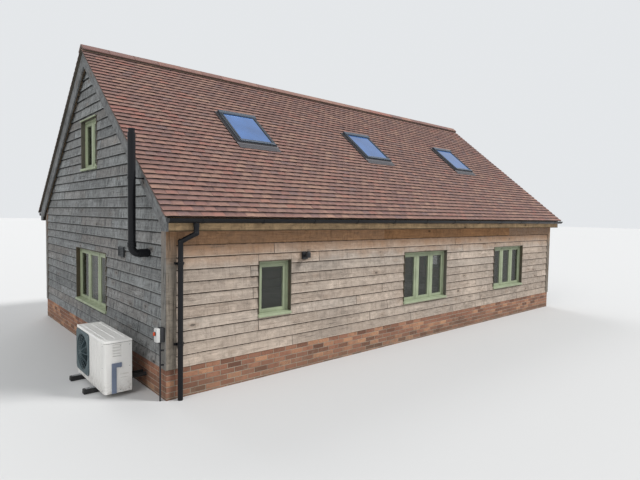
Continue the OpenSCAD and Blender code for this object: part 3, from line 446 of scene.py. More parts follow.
def weathered(name, tone, along, rake=0.0, seeded=True, warm=0.25, spread=0.12, cracks=0.7, knots=0.28,
              drips=0.0, cover=0.0, lap=0.11, fresh=None, foot=None):
    """Sawn boards left to weather. cover is the height of a course, fresh what kept_dry takes from its
    heights on, and foot the height of a lower edge darkened as painted shade."""
    s = Shader(name)
    v = grain_frame(s, along, rake, seeded)
    cloud = s.noise(v, 2.3, 5)
    brown = mixed(tone, HEARTWOOD, 0.5)
    streak = silvered(s, v, cloud, tone, brown, warm)
    if seeded:
        board_by_board(s, tone, brown, spread)
    if fresh:
        kept_dry(s, cloud, streak, *fresh)
    knotted(s, v, tone, brown, knots)
    check = checked(s, v, cloud, tone, cracks)
    if drips:
        rain_marked(s, v, tone, drips)
    if cover:
        lapped(s, v, cloud, tone, cover, lap, warm)
    if foot is not None:
        # Painted shade along the piece's lower edge, within a few centimetres of the height foot
        s.over(s.window(s.axis(2), foot + 0.022, foot + 0.008, 0.0, 0.9), shade(tone, 0.10))
    height = s.plus(s.times(streak, 0.7), s.times(s.grain(v, 5, 230, 3), 0.4))
    height = s.math("SUBTRACT", height, s.times(check, 0.8))
    return s.finish(s.window(streak, 0.2, 0.8, 0.92, 0.74), height, 0.55, 0.004, Specular_IOR_Level=0.25)


def sawn(name, tone):
    """Clean sawn softwood inside the walls."""
    s = Shader(name)
    streak = s.grain(s.place, 0.8, 22, 5, 0.6, 0.3)
    s.cloudy(streak, tone, 0.7, 1.12, top=0.75)
    board = s.math("FRACT", s.times(s.axis(2), 6.0))
    s.over(s.window(board, 0.0, 0.04, 0.6, 0.0), shade(tone, 0.2))
    return s.finish(0.7, streak, 0.3, 0.003)


def clay(name, dark, mid, pale):
    """Fired clay: mixed burns from tile to tile, sanded face, painted shade under each lap and on the butts,
    a pale lip of painted highlight and wear, dust and lichen.
    """
    s = Shader(name)
    r, g, b = s.split(s.seed())
    v = s.scattered(s.place, (31.0, 17.0, 7.0))
    wide = s.noise(s.place, 0.5)
    burn = s.plus(s.spread(r, 0.07, 0.61), s.times(wide, 0.44))
    s.tone = s.ramp(burn, [(0.16, dark), (0.34, mixed(dark, mid, 0.65)), (0.62, mid),
                           (0.86, mixed(mid, pale, 0.45)), (1.0, pale)])
    verge = s.window(s.math("ABSOLUTE", s.axis(0)), VERGE_X - 1.6, VERGE_X, 0.55, 1.0)
    s.over(s.times(s.math("POWER", g, 6.0), verge), RED_TILE)
    s.over(s.times(s.math("POWER", b, 6.0), 0.55), BLUE_TILE)
    smoke = s.noise(v, 9.0, 5, 0.65)
    s.over(s.window(smoke, 0.45, 0.72, 0.0, 0.5), shade(dark, 0.9))
    dust = s.noise(v, 60.0, 4, 0.7)
    s.over(s.window(dust, 0.52, 0.78, 0.0, 0.35), pale)
    moss = s.times(s.window(s.noise(s.place, 13.0, 6, 0.75), 0.62, 0.72), s.window(wide, 0.50, 0.62))
    s.over(s.times(moss, 0.55), LICHEN)
    up = s.attribute("up")
    # A paler lip at each tile's foot: painted highlight and wear
    s.over(s.times(s.window(up, 0.12, 0.0), s.window(smoke, 0.35, 0.65, 0.2, 0.6)), shade(pale, 1.05))
    # Painted shade over the part of each tile under the next course
    lap = s.times(s.window(up, 0.58, 0.92), s.window(smoke, 0.3, 0.7, 0.8, 1.0))
    s.over(s.times(lap, 0.92), TILE_SHADE)
    # Painted shade on the butt faces and undersides
    s.over(s.window(up, -0.02, -0.2, 0.0, 0.94), TILE_SHADE)
    height = s.plus(s.times(dust, 0.7), s.times(s.noise(v, 260.0, 3, 0.7), 0.35))
    return s.finish(s.window(smoke, 0.3, 0.8, 0.92, 0.78), height, 0.35, 0.003, Specular_IOR_Level=0.3)


def brickwork(name, tone):
    """Facing bricks: burnt patches, sandy face and pale bloom."""
    s = Shader(name)
    v = s.scattered(s.place, (19.0, 29.0, 13.0))
    s.tone = s.ramp(s.split(s.seed())[0], [(0.0, shade(tone, 0.42)), (0.35, shade(tone, 0.80)), (0.7, tone),
                                           (1.0, mixed(tone, ORANGE_BRICK, 0.6))])
    burn = s.noise(v, 14.0, 5)
    s.over(s.window(burn, 0.5, 0.75, 0.0, 0.6), shade(tone, 0.38))
    bloom = s.noise(v, 7.0)
    s.over(s.window(bloom, 0.58, 0.8, 0.0, 0.35), BLOOM)
    low = s.window(s.axis(2), 0.0, 0.28, 0.5, 0.0)
    s.over(s.times(low, s.window(bloom, 0.35, 0.6)), GREEN_DAMP)
    return s.finish(0.9, s.plus(s.noise(v, 190.0, 4, 0.7), s.times(burn, 0.8)), 0.5, 0.003)


def mineral(name, tone, grains):
    """Mortar or concrete, with so many grains a metre."""
    s = Shader(name)
    s.cloudy(s.noise(s.place, 3.0, 5), tone, 0.72, 1.15, top=0.75)
    grit = s.noise(s.place, grains, 5, 0.7)
    s.over(s.window(grit, 0.5, 0.7, 0.0, 0.35), shade(tone, 0.55))
    return s.finish(0.92, grit, 0.4, 0.003)


def painted_wood(name, tone):
    """Brushed exterior paint on wood: faint grain, dust in the lee, scuffs to bare wood."""
    s = Shader(name)
    brush = s.runs(30, 6)
    cloud = s.noise(s.place, 4.0)
    s.cloudy(cloud, tone, 0.82, 1.12)
    s.over(s.window(brush, 0.55, 0.8, 0.0, 0.2), shade(tone, 1.35))
    grime = s.window(s.noise(s.place, 22.0, 5, 0.7), 0.60, 0.78, 0.0, 0.45)
    s.over(grime, mixed(shade(tone, 0.4), PAINT_GRIME, 0.5))
    rough = s.window(cloud, 0.2, 0.8, 0.62, 0.42)
    return s.finish(rough, brush, 0.25, 0.0015, Specular_IOR_Level=0.4)


def plastic(name, tone, rough=0.38, dust=0.12, gloss=0.5):
    """Moulded plastic with dust, streaks and a worn sheen."""
    s = Shader(name)
    cloud = s.noise(s.place, 3.5, 5, 0.65)
    s.cloudy(cloud, tone, 0.85, 1.2, 0.6)
    s.over(s.window(s.runs(26, 2.2), 0.52, 0.8, 0.0, dust), mixed(tone, ROAD_DUST, 0.45))
    sheen = s.window(cloud, 0.25, 0.8, rough + 0.14, rough - 0.06)
    return s.finish(sheen, s.noise(s.place, 320.0, 2, 0.5), 0.08, 0.0006, Specular_IOR_Level=gloss)


def coated(name, tone, rough=0.35, metallic=0.0, grime=0.35, foot=None, well=None, seam=None):
    """Coated sheet metal: orange peel and rain streaks, with splashes between the two heights of foot,
    painted shade in a fan well of a centre and radius, and a painted shadow line just under the height of
    the lid's seam."""
    s = Shader(name)
    cloud = s.noise(s.place, 2.2, 5)
    s.cloudy(cloud, tone, 0.92, 1.05, 0.6)
    s.over(s.window(s.runs(22, 1.4, 5, 0.65), 0.56, 0.82, 0.0, grime), mixed(shade(tone, 0.45), SOOT, 0.5))
    if foot:
        splash = s.window(s.axis(2), *foot, 0.7, 0.0)
        s.over(s.times(splash, s.window(s.noise(s.place, 14.0, 6, 0.75), 0.42, 0.72)), MUD)
    # Painted shade in the fan well behind the guard
    if well:
        centre, radius = well
        out = s.vector("SUBTRACT", s.place, centre)
        away = s.vector("LENGTH", s.mapped(out, (0, 1, 1)), output=1)
        deep = s.math("GREATER_THAN", s.split(out)[0], 0.0)
        s.over(s.times(s.math("LESS_THAN", away, radius), deep), WELL_SHADE)
    # A painted shadow line just under the lid's seam
    if seam:
        s.over(s.window(s.axis(2), seam - 0.008, seam - 0.005), LID_SHADOW)
    sheen = s.window(cloud, 0.2, 0.8, rough + 0.08, rough - 0.05)
    return s.finish(sheen, s.noise(s.place, 240.0, 2, 0.5), 0.05, 0.0006, Metallic=metallic)


def glass(name, tone, alpha):
    """Glazing with a film of dust and the slight waves of a sealed pane."""
    s = Shader(name)
    film = s.noise(s.place, 1.6)
    s.tone = s.ramp(film, [(0.3, shade(tone, 0.8)), (0.7, shade(tone, 1.3))])
    return s.finish(s.window(film, 0.3, 0.8, 0.02, 0.07), s.noise(s.place, 0.9, 2, 0.4), 0.03, 0.004,
                    Alpha=alpha, Specular_IOR_Level=0.9, IOR=1.52)


# Mesh helpers


def block(bm, low, high):
    """A box between two corners. Returns its vertices."""
    size = [b - a for a, b in zip(low, high)]
    middle = [(a + b) / 2 for a, b in zip(low, high)]
    matrix = Matrix.Translation(middle) @ Matrix.Diagonal((*size, 1.0))
    return bmesh.ops.create_cube(bm, size=1.0, matrix=matrix)["verts"]


def since(bm, start):
    """The vertices made after the first start ones."""
    bm.verts.ensure_lookup_table()
    return bm.verts[start:]


def only(geom, kind):
    """The vertices, edges or faces among what a bmesh operator made."""
    return [g for g in geom if isinstance(g, kind)]


def sliced(bm, low, high, cuts):
    """A box cut across its X length into cuts + 1 parts. Returns its vertices."""
    start = len(bm.verts)
    verts = block(bm, low, high)
    if cuts:
        along = [e for e in {e for v in verts for e in v.link_edges}
                 if abs(e.verts[0].co.x - e.verts[1].co.x) > 1e-6]
        bmesh.ops.subdivide_edges(bm, edges=along, cuts=cuts, use_grid_fill=True)
    return since(bm, start)


def rounded(bm, verts, width, segments=1):
    """Bevels every edge of the shape that these vertices belong to."""
    edges = list({e for v in verts for e in v.link_edges})
    bmesh.ops.bevel(bm, geom=edges, offset=width, segments=segments, profile=0.5, affect="EDGES",
                    material=-1, clamp_overlap=True)


def bar(bm, low, high, arris=0.003, segments=1):
    """A box with rounded edges."""
    rounded(bm, block(bm, low, high), arris, segments)


def disc(bm, centre, axis, radius, depth, sides, top=None):
    """A closed cylinder, or a cone with another radius at its top, that grows from centre along axis."""
    axis = Vector(axis).normalized()
    turn = axis.to_track_quat("Z", "Y").to_matrix().to_4x4()
    made = bmesh.ops.create_cone(bm, cap_ends=True, cap_tris=False, segments=sides, radius1=radius,
                                 radius2=radius if top is None else top, depth=depth,
                                 matrix=Matrix.Translation(Vector(centre) + axis * depth / 2) @ turn)
    return made["verts"]


def rod(bm, centre, axis, radius, depth, sides, arris, segments=1):
    """A cylinder with rounded edges."""
    rounded(bm, disc(bm, centre, axis, radius, depth, sides), arris, segments)


# Directions in which fixings point: out of a wall, up, and out of the heat pump's face
OUT, UP, FORWARD = (0, -1, 0), (0, 0, 1), (-1, 0, 0)

# Heads of fixings: radius at the foot, height, sides, radius at the top
NAIL = (0.0045, 0.003, 6, 0.003)
HINGE_SCREW = (0.006, 0.003, 12, 0.004)
ROOF_SCREW = (0.005, 0.003, 10, 0.0035)
LID_SCREW = (0.005, 0.002, 14, 0.004)
PANEL_SCREW = (0.006, 0.003, 14, 0.0045)
GUARD_CLIP = (0.008, 0.004, 16, 0.006)


def marked(bm, *names):
    """Adds numbers to a bmesh's vertices, for the materials that read them."""
    return [bm.verts.layers.float.new(name) for name in names]


class Heap:
    """Joins many small bmeshes, such as one for each course, into one."""

    def __init__(self):
        self.total = bmesh.new()
        self.step = bpy.data.meshes.new("step")

    def take(self, part, place=None, material=0):
        """Moves a part into its place, turns its faces outwards and joins it with one of the materials."""
        if place:
            for v in part.verts:
                v.co = place(v.co)
        if part.calc_volume(signed=True) < 0:
            bmesh.ops.reverse_faces(part, faces=part.faces)
        for face in part.faces:
            face.material_index = material
        part.to_mesh(self.step)
        part.free()
        self.total.from_mesh(self.step)

    def done(self):
        bpy.data.meshes.remove(self.step)
        return self.total


def piece(name, bm, materials, nodes=(), smooth=0.0):
    """Turns a bmesh into a finished piece that rides on the building."""
    mesh = bpy.data.meshes.new(name)
    bm.to_mesh(mesh)
    bm.free()
    for material in materials:
        mesh.materials.append(material)
    if smooth:
        mesh.shade_smooth()
        mesh.set_sharp_from_angle(angle=math.radians(smooth))
    obj = bpy.data.objects.new(name, mesh)
    bpy.context.scene.collection.objects.link(obj)
    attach(obj, "root")
    if nodes:
        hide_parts(*nodes)


def coat(material, *nodes):
    """Gives CAD nodes their finish."""
    for node in nodes:
        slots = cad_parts[node].data.materials
        slots.clear()
        slots.append(material)


def pieces_outside(whole, holes, least):
    """The parts of a rectangle (x0, x1, z0, z1) that lie outside some rectangular holes."""
    found = [whole]
    for left, right, foot, top in holes:
        kept = []
        for a, b, c, d in found:
            if b <= left or a >= right or d <= foot or c >= top:
                kept.append((a, b, c, d))
                continue
            if a < left:
                kept.append((a, left, c, d))
            if b > right:
                kept.append((right, b, c, d))
            low, high = max(a, left), min(b, right)
            if c < foot:
                kept.append((low, high, c, foot))
            if d > top:
                kept.append((low, high, top, d))
        found = kept
    return [(a, b, c, d) for a, b, c, d in found if b - a > least and d - c > least]


def opening(middle, foot, width, tall):
    """A window or doorway as a rectangle on its wall."""
    return (middle - width / 2, middle + width / 2, foot, foot + tall)


# Walls: each maps (along, depth behind the posts' face, height) to the building
WALLS = {
    "front": lambda c: Vector((c[0], -HALF_W + c[1], c[2])),
    "back": lambda c: Vector((-c[0], HALF_W - c[1], c[2])),
    "service_gable": lambda c: Vector((-HALF_L + c[1], -c[0], c[2])),
    "far_gable": lambda c: Vector((HALF_L - c[1], -c[0], c[2])),
}
POST = 0.14

# Windows of a long wall and of a gable, each an opening and its number of casements
LONG_WINDOWS = [(opening(-3.79, 0.905, 0.6, 0.835), 1), (opening(-0.064, 0.74, 1.4, 1.0), 3),
                (opening(3.26, 0.74, 1.4, 1.0), 3)]
LOFT_WINDOW = opening(0.034, 3.145, 0.9, 0.9)
END_WINDOWS = [(opening(0.066, 0.74, 1.75, 1.0), 3), (LOFT_WINDOW, 2)]
DOOR = opening(1.5, 0.15, 0.9, 1.97)

# Roof windows: places along the roof, height of their middle up the slope, width and length
ROOFLIGHTS = (-3.28, -0.15, 3.16)
ROOFLIGHT_UP, ROOFLIGHT_W, ROOFLIGHT_L = 2.45, 0.78, 0.98


def windows_of(wall):
    """The windows of one wall."""
    return END_WINDOWS if wall.endswith("gable") else LONG_WINDOWS


def wall_holes(wall):
    """The openings of one wall."""
    holes = [hole for hole, _ in windows_of(wall)]
    return holes + [DOOR] if wall == "back" else holes


def slope(turn, along=0.0, up=0.0):
    """Maps (along, up the slope, off the tile plane) from a point on the front slope, or on the back one
    for turn -1."""
    r = settings("roof")
    cos, sin = math.cos(r.pitch), math.sin(r.pitch)

    def place(p):
        s = p[1] + up
        y = -EAVES_REACH + s * cos - p[2] * sin
        return Vector((turn * (p[0] + along), turn * y, r.eaves_z + s * sin + p[2] * cos))

    return place


def slope_run():
    """Length of the tile plane from the eaves to the ridge."""
    return EAVES_REACH / math.cos(settings("roof").pitch)


def slope_height(across, off):
    """Height of a plane that lies off the tile plane, at a distance across from the ridge."""
    r = settings("roof")
    return r.eaves_z + (EAVES_REACH - abs(across)) * math.tan(r.pitch) + off / math.cos(r.pitch)


def deck_foot(across):
    """Height of the underside of the roof's deck."""
    r = settings("roof")
    return slope_height(across, -r.tiling - r.deck)


# Boards


# Overlap behind the next course, length between the cuts along a board, and the least piece kept
BOARD_LAP, SLICE, SCRAP = 0.006, 0.42, 0.012

# Joints along a course: least first and last board, distance from the joints below, and a step past one
FIRST_BOARD, LAST_BOARD = 0.4, 0.35
JOINTS_APART, JOINT_STEP = 0.3, 0.11
GABLE_SHORTEST, GABLE_LONGEST = 0.9, 2.4
EAVES_SHORTEST, EAVES_LONGEST, EAVES_GAP = 3.2, 4.8, 0.001

# Nails: height on a board, how far they stray and sink, and distances from openings, ends and the deck
NAIL_UP, NAIL_STRAY, NAIL_SUNK = 0.034, 0.012, 0.001
NAIL_CLEAR, NAIL_IN, NAIL_UNDER = 0.01, 0.03, 0.03


def joints(rng, half, shortest, longest, taken):
    """Places where the boards of a course end, clear of the joints of the course below."""
    places, at = [-half], -half + rng.uniform(FIRST_BOARD, longest)
    while at < half - LAST_BOARD:
        if all(abs(at - t) > JOINTS_APART for t in taken):
            places.append(at)
            at += rng.uniform(shortest, longest)
        else:
            at += JOINT_STEP
    return places + [half]


def plank(bm, marks, seed, sides, depth_at, back, rng, wander):
    """A board on a wall, before it is placed: X along, Y depth, Z up, thicker at its foot."""
    x0, x1, z0, z1 = sides
    verts = sliced(bm, (x0, 0, z0), (x1, 1, z1), max(0, round((x1 - x0) / SLICE) - 1))
    phase, beat = rng.uniform(0, 6.28), rng.uniform(1.2, 2.6)
    lift, tilt = rng.uniform(-wander, wander), rng.uniform(-wander, wander) * 0.6
    for v in verts:
        x, y, z = v.co
        fade = 1 - (z - z0) / (z1 - z0)
        wave = math.sin(phase + beat * x) * wander * 0.5 + lift * 0.6
        front = depth_at(z) + (wave + tilt * (x - x0)) * fade * 0.5
        low = wander * 0.6 * math.sin(phase * 1.7 + 1.9 * beat * x) * fade
        v.co = (x, front if y < 0.5 else back, z + low)
        for layer, value in zip(marks, (seed, x - x0, x1 - x)):
            v[layer] = value


def course(wall, rng, ends, foot, top, gap, depth_at, wander):
    """One course of boards, cut round the openings, with a number and its ends' distances for each."""
    b = settings("boards")
    part = bmesh.new()
    marks = marked(part, "seed", "left", "right")
    for x0, x1 in zip(ends, ends[1:]):
        seed = rng.random()
        for sides in pieces_outside((x0 + gap, x1 - gap, foot, top), wall_holes(wall), SCRAP):
            plank(part, marks, seed, sides, depth_at, b.set_back + b.butt, rng, wander)
    return part


def course_nails(wall, rng, half, foot, depth_at):
    """Places of a course's nails, one over each stud, clear of the openings and the wall's ends."""
    step = settings("boards").stud_step
    steps = int(half / step)
    nails = []
    for k in range(-steps, steps + 1):
        x = k * step + rng.uniform(-NAIL_STRAY, NAIL_STRAY)
        z = foot + NAIL_UP + rng.uniform(-NAIL_STRAY / 2, NAIL_STRAY / 2)
        in_hole = any(left - NAIL_CLEAR < x < right + NAIL_CLEAR and low - NAIL_CLEAR < z < high + NAIL_CLEAR
                      for left, right, low, high in wall_holes(wall))
        if abs(x) < half - NAIL_IN and not in_hole:
            nails.append((x, depth_at(z), z))
    return nails


def board_wall(wall, rng, half, courses, shortest, longest):
    """All the feather-edge boards of one wall, with the nails' places."""
    b = settings("boards")
    heap, nails, taken = Heap(), [], []
    for i in range(courses):
        foot = PLINTH_TOP + i * b.cover

        def depth_at(z, foot=foot):
            share = min(1.0, max(0.0, (z - foot) / b.cover))
            return b.set_back + (b.butt - b.tip) * share

        ends = joints(rng, half, shortest, longest, taken)
        taken = ends[1:-1]
        top = foot + b.cover + BOARD_LAP
        heap.take(course(wall, rng, ends, foot, top, b.joint / 2, depth_at, b.unevenness), WALLS[wall])
        nails += course_nails(wall, rng, half, foot, depth_at)
    return heap, nails


def cut_rakes(bm):
    """Cuts gable boards along the underside of both roof decks."""
    pitch = settings("roof").pitch
    for side in (1, -1):
        normal = Vector((0, side * math.sin(pitch), math.cos(pitch)))
        geom = bm.verts[:] + bm.edges[:] + bm.faces[:]
        cut = bmesh.ops.bisect_plane(bm, geom=geom, plane_co=(0, 0, deck_foot(0)), plane_no=normal,
                                     clear_outer=True)
        bmesh.ops.holes_fill(bm, edges=only(cut["geom_cut"], bmesh.types.BMEdge), sides=0)
    bmesh.ops.recalc_face_normals(bm, faces=bm.faces)


class OUTBUILDING_OT_boards(bpy.types.Operator):
    """Weatherboards on the long walls and the gables, with their nails"""

    bl_idname = "outbuilding.boards"
    bl_label = "Weatherboards"

    def execute(self, context):
        b, f = settings("boards"), settings("finishes")
        courses = int((SOFFIT_Z - PLINTH_TOP) / b.cover + 1e-6) - 1
        gable_courses = math.ceil((TILING_HIGH.z - PLINTH_TOP) / b.cover)
        front = weathered("front_boards", f.front_board, "X", cover=b.cover, warm=0.3, drips=0.30,
                          knots=0.48, fresh=(SOFFIT_Z - 0.50, SOFFIT_Z - 0.16, f.fresh_board, 0.75))
        plain = weathered("eaves_board", shade(f.fresh_board, 0.80), "X", warm=0.6, drips=0.3)
        gable = weathered("gable_boards", f.gable_board, "Y", cover=b.cover, lap=0.17, warm=0.06,
                          drips=0.85, spread=0.2)
        heads = Heap()
        for wall, place in WALLS.items():
            rng = random.Random("boards " + wall)
            if wall.endswith("gable"):
                boards, nails = board_wall(wall, rng, HALF_W - POST, gable_courses, GABLE_SHORTEST,
                                           GABLE_LONGEST)
                bm = boards.done()
                cut_rakes(bm)
                nails = [(x, depth, z) for x, depth, z in nails if z < deck_foot(x) - NAIL_UNDER]
                piece(wall + "_boards", bm, [gable], [wall + "_boarding"])
            else:
                boards, nails = board_wall(wall, rng, HALF_L - POST, courses, b.shortest, b.longest)
                boards.take(self.eaves_boards(wall, rng, PLINTH_TOP + courses * b.cover), place, 1)
                piece(wall + "_boards", boards.done(), [front, plain], [wall + "_boarding"])
            part = bmesh.new()
            for x, depth, z in nails:
                disc(part, (x, depth + NAIL_SUNK, z), OUT, *NAIL)
            heads.take(part, place)
        rust = plastic("nail_heads", (0.10, 0.075, 0.06), 0.6)
        piece("board_nails", heads.done(), [rust])
        return {"FINISHED"}

    def eaves_boards(self, wall, rng, foot):
        """The plain, browner boards under the soffit."""
        b = settings("boards")
        ends = joints(rng, HALF_L - POST, EAVES_SHORTEST, EAVES_LONGEST, [])
        return course(wall, rng, ends, foot, SOFFIT_Z, EAVES_GAP, lambda z: b.set_back, b.unevenness * 0.4)


# Plinth


# Bricks: how far the outer face's edges are worn back, their depth in the wall, and the least sizes kept
WORN, WORN_DEEP = 0.003, 0.002
BRICK_IN = 0.02
LEAST_BRICK, LEAST_COURSE = 0.02, 0.01


def lay_brick(bm, layer, seed, sides, front, back):
    """A brick on a wall, before it is placed, with the edges of its outer face worn back."""
    x0, x1, z0, z1 = sides
    start = len(bm.verts)
    verts = block(bm, (x0, front + WORN_DEEP, z0), (x1, back, z1))
    outer = [face for face in {face for v in verts for face in v.link_faces}
             if all(v.co.y < (front + back) / 2 for v in face.verts)]
    made = bmesh.ops.extrude_face_region(bm, geom=outer)["geom"]
    bmesh.ops.delete(bm, geom=outer, context="FACES_ONLY")
    for v in only(made, bmesh.types.BMVert):
        v.co.x += WORN if v.co.x < (x0 + x1) / 2 else -WORN
        v.co.z += WORN if v.co.z < (z0 + z1) / 2 else -WORN
        v.co.y -= WORN_DEEP
    for v in since(bm, start):
        v[layer] = seed


class OUTBUILDING_OT_plinth(bpy.types.Operator):
    """Bricks of the plinth, proud of their mortar"""

    bl_idname = "outbuilding.plinth"
    bl_label = "Brick Plinth"

    def execute(self, context):
        k, f = settings("bricks"), settings("finishes")
        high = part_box("brick_plinth")[1]
        rng = random.Random("bricks")
        heap = Heap()
        rise, step = k.brick_height + k.joint, k.brick_length + k.joint
        inset = HALF_W - high.y
        for wall, place in WALLS.items():
            half = high.y if wall.endswith("gable") else high.x
            holes = [DOOR] if wall == "back" else []
            for i in range(math.ceil(high.z / rise)):
                top = high.z - i * rise - k.joint / 2
                foot = max(top - k.brick_height, 0.0)
                if top - foot < LEAST_COURSE:
                    continue
                part = bmesh.new()
                layer = marked(part, "seed")[0]
                x = -half - (0 if i % 2 else step / 2)
                while x < half:
                    whole = (max(x, -half), min(x + k.brick_length, half), foot, top)
                    x += step
                    seed = rng.random()
                    front = inset - k.proud - rng.uniform(-0.0015, 0.001)
                    for sides in pieces_outside(whole, holes, LEAST_BRICK):
                        lay_brick(part, layer, seed, sides, front, inset + BRICK_IN)
                heap.take(part, place)
        piece("plinth_bricks", heap.done(), [brickwork("facing_brick", f.brick)])
        coat(mineral("lime_mortar", f.mortar, 120.0), "brick_plinth")
        coat(mineral("slab_concrete", f.concrete, 45.0), "ground_slab")
        return {"FINISHED"}


# Roof


# Tiling: room round a roof window, part of a tile under the next course, and distances kept from the ridge
TILE_ROOM, TILE_LAP = 0.035, 0.042
LAST_COURSE, TOP_EDGE = 0.04, 0.012
TILE_SCRAP = 0.015

# Each tile's own lift, tilt and slip, and the share of tiles that stand higher, and by how much
TILE_LIFT, TILE_SKEW, TILE_SLIP = 0.0025, 0.0016, 0.002
KICKED, KICK = 0.03, 0.003

# Ridge: radius and steps of the crest, the joint and strays of a tile, and then for tiles and their bed
# the height of the underside off the tile plane, the thickness, and how far in the bed stands
CREST, CREST_STEPS = 0.045, 6
RIDGE_JOINT, RIDGE_STRAY = 0.004, 0.002
RIDGE_OFF, RIDGE_THICK = 0.038, 0.014
BED_OFF, BED_THICK, BED_END, BED_IN = 0.026, 0.026, 0.006, 0.012

# Verges: thickness of the undercloak, and where it and the mortar begin and end
UNDERCLOAK = 0.006
VERGE_IN = 0.03


def tile_rows(turn, rng):
    """Every plain tile of one slope as one bmesh."""
    r = settings("roof")
    heap, run = Heap(), slope_run()
    count = round(2 * VERGE_X / r.tile_width)
    width = 2 * VERGE_X / count
    whole = [-VERGE_X + k * width for k in range(count + 1)]
    broken = [-VERGE_X] + [-VERGE_X + (k + 0.5) * width for k in range(1, count - 1)] + [VERGE_X]
    rows = int((run - LAST_COURSE) / r.gauge) + 1
    half_w, half_l = ROOFLIGHT_W / 2 + TILE_ROOM, ROOFLIGHT_L / 2 + TILE_ROOM
    holes = [(x - half_w, x + half_w, ROOFLIGHT_UP - half_l, ROOFLIGHT_UP + half_l) for x in ROOFLIGHTS]
    for row in range(-1, rows):
        start = max(row, 0) * r.gauge
        end = min(start + r.gauge + TILE_LAP, run - TOP_EDGE)
        sunk = r.tile if row < 0 else 0.0
        edges = broken if row % 2 else whole
        part = bmesh.new()
        marks = marked(part, "seed", "up")
        for x0, x1 in zip(edges, edges[1:]):
            seed, lift = rng.random(), rng.uniform(0.0, TILE_LIFT)
            skew, slip = rng.uniform(-TILE_SKEW, TILE_SKEW), rng.uniform(-TILE_SLIP, TILE_SLIP)
            if rng.random() < KICKED:
                lift += KICK
            for sides in pieces_outside((x0 + r.gap / 2, x1 - r.gap / 2, start, end), holes, TILE_SCRAP):
                lay_tile(part, marks, seed, sides, start, lift, skew, slip, sunk)
        heap.take(part, slope(turn))
    return heap.done()


def lay_tile(bm, marks, seed, sides, start, lift, skew, slip, sunk):
    """A cambered tile of the course that starts at start, on the slope before it is placed."""
    r = settings("roof")
    x0, x1, s0, s1 = sides
    for v in sliced(bm, (x0, s0, -1), (x1, s1, 0), 2):
        u = (v.co.x - x0) / (x1 - x0) * 2 - 1
        back = (v.co.y - start) / r.gauge
        top = -back * r.tile + (lift + skew * u) * (1 - back * 0.7) - r.camber * u * u - sunk
        tail = s0 == start and v.co.y < s0 + 1e-6
        # up runs up each tile from 0 at its foot and is -0.6 underneath, so that the material paints shade
        # on the butts
        v[marks[0]], v[marks[1]] = seed, back if v.co.z > -0.5 else -0.6
        v.co = (v.co.x, v.co.y + (slip + skew * u if tail else 0.0), top + v.co.z * r.tile * 0.93)


def ridge_profile(off, wing):
    """Half of an angle ridge's section in (y, z), from the wing's foot to the crest."""
    pitch = settings("roof").pitch
    apex = slope_height(0.0, off)
    points = [(wing * math.cos(pitch), apex - wing * math.sin(pitch))]
    for k in range(CREST_STEPS + 1):
        turn = pitch * (1 - k / CREST_STEPS)
        points.append((CREST * math.sin(turn), apex - CREST / math.cos(pitch) + CREST * math.cos(turn)))
    return points


def ridge_piece(heap, rng, seed, ends, off, wing, thick, material=0):
    """One ridge tile, or its bed, from its section swept along X and given a thickness."""
    bm = bmesh.new()
    layer, rise = marked(bm, "seed", "up")
    half = ridge_profile(off, wing)
    section = [(-y, z) for y, z in half] + [(y, z) for y, z in reversed(half[:-1])]
    tilt, shift = (rng.uniform(-RIDGE_STRAY, RIDGE_STRAY) for _ in range(2))
    verts = [bm.verts.new((ends[0], y + shift, z)) for y, z in section]
    edges = [bm.edges.new(pair) for pair in zip(verts, verts[1:])]
    swept = bmesh.ops.extrude_edge_only(bm, edges=edges)["geom"]
    far, faces = only(swept, bmesh.types.BMVert), only(swept, bmesh.types.BMFace)
    bmesh.ops.translate(bm, verts=far, vec=(ends[1] - ends[0], 0, tilt))
    bmesh.ops.recalc_face_normals(bm, faces=faces)
    if sum(face.normal.z for face in faces) < 0:
        bmesh.ops.reverse_faces(bm, faces=faces)
    bmesh.ops.solidify(bm, geom=faces, thickness=thick)
    for v in bm.verts:
        v[layer], v[rise] = seed, 0.5
    heap.take(bm, material=material)


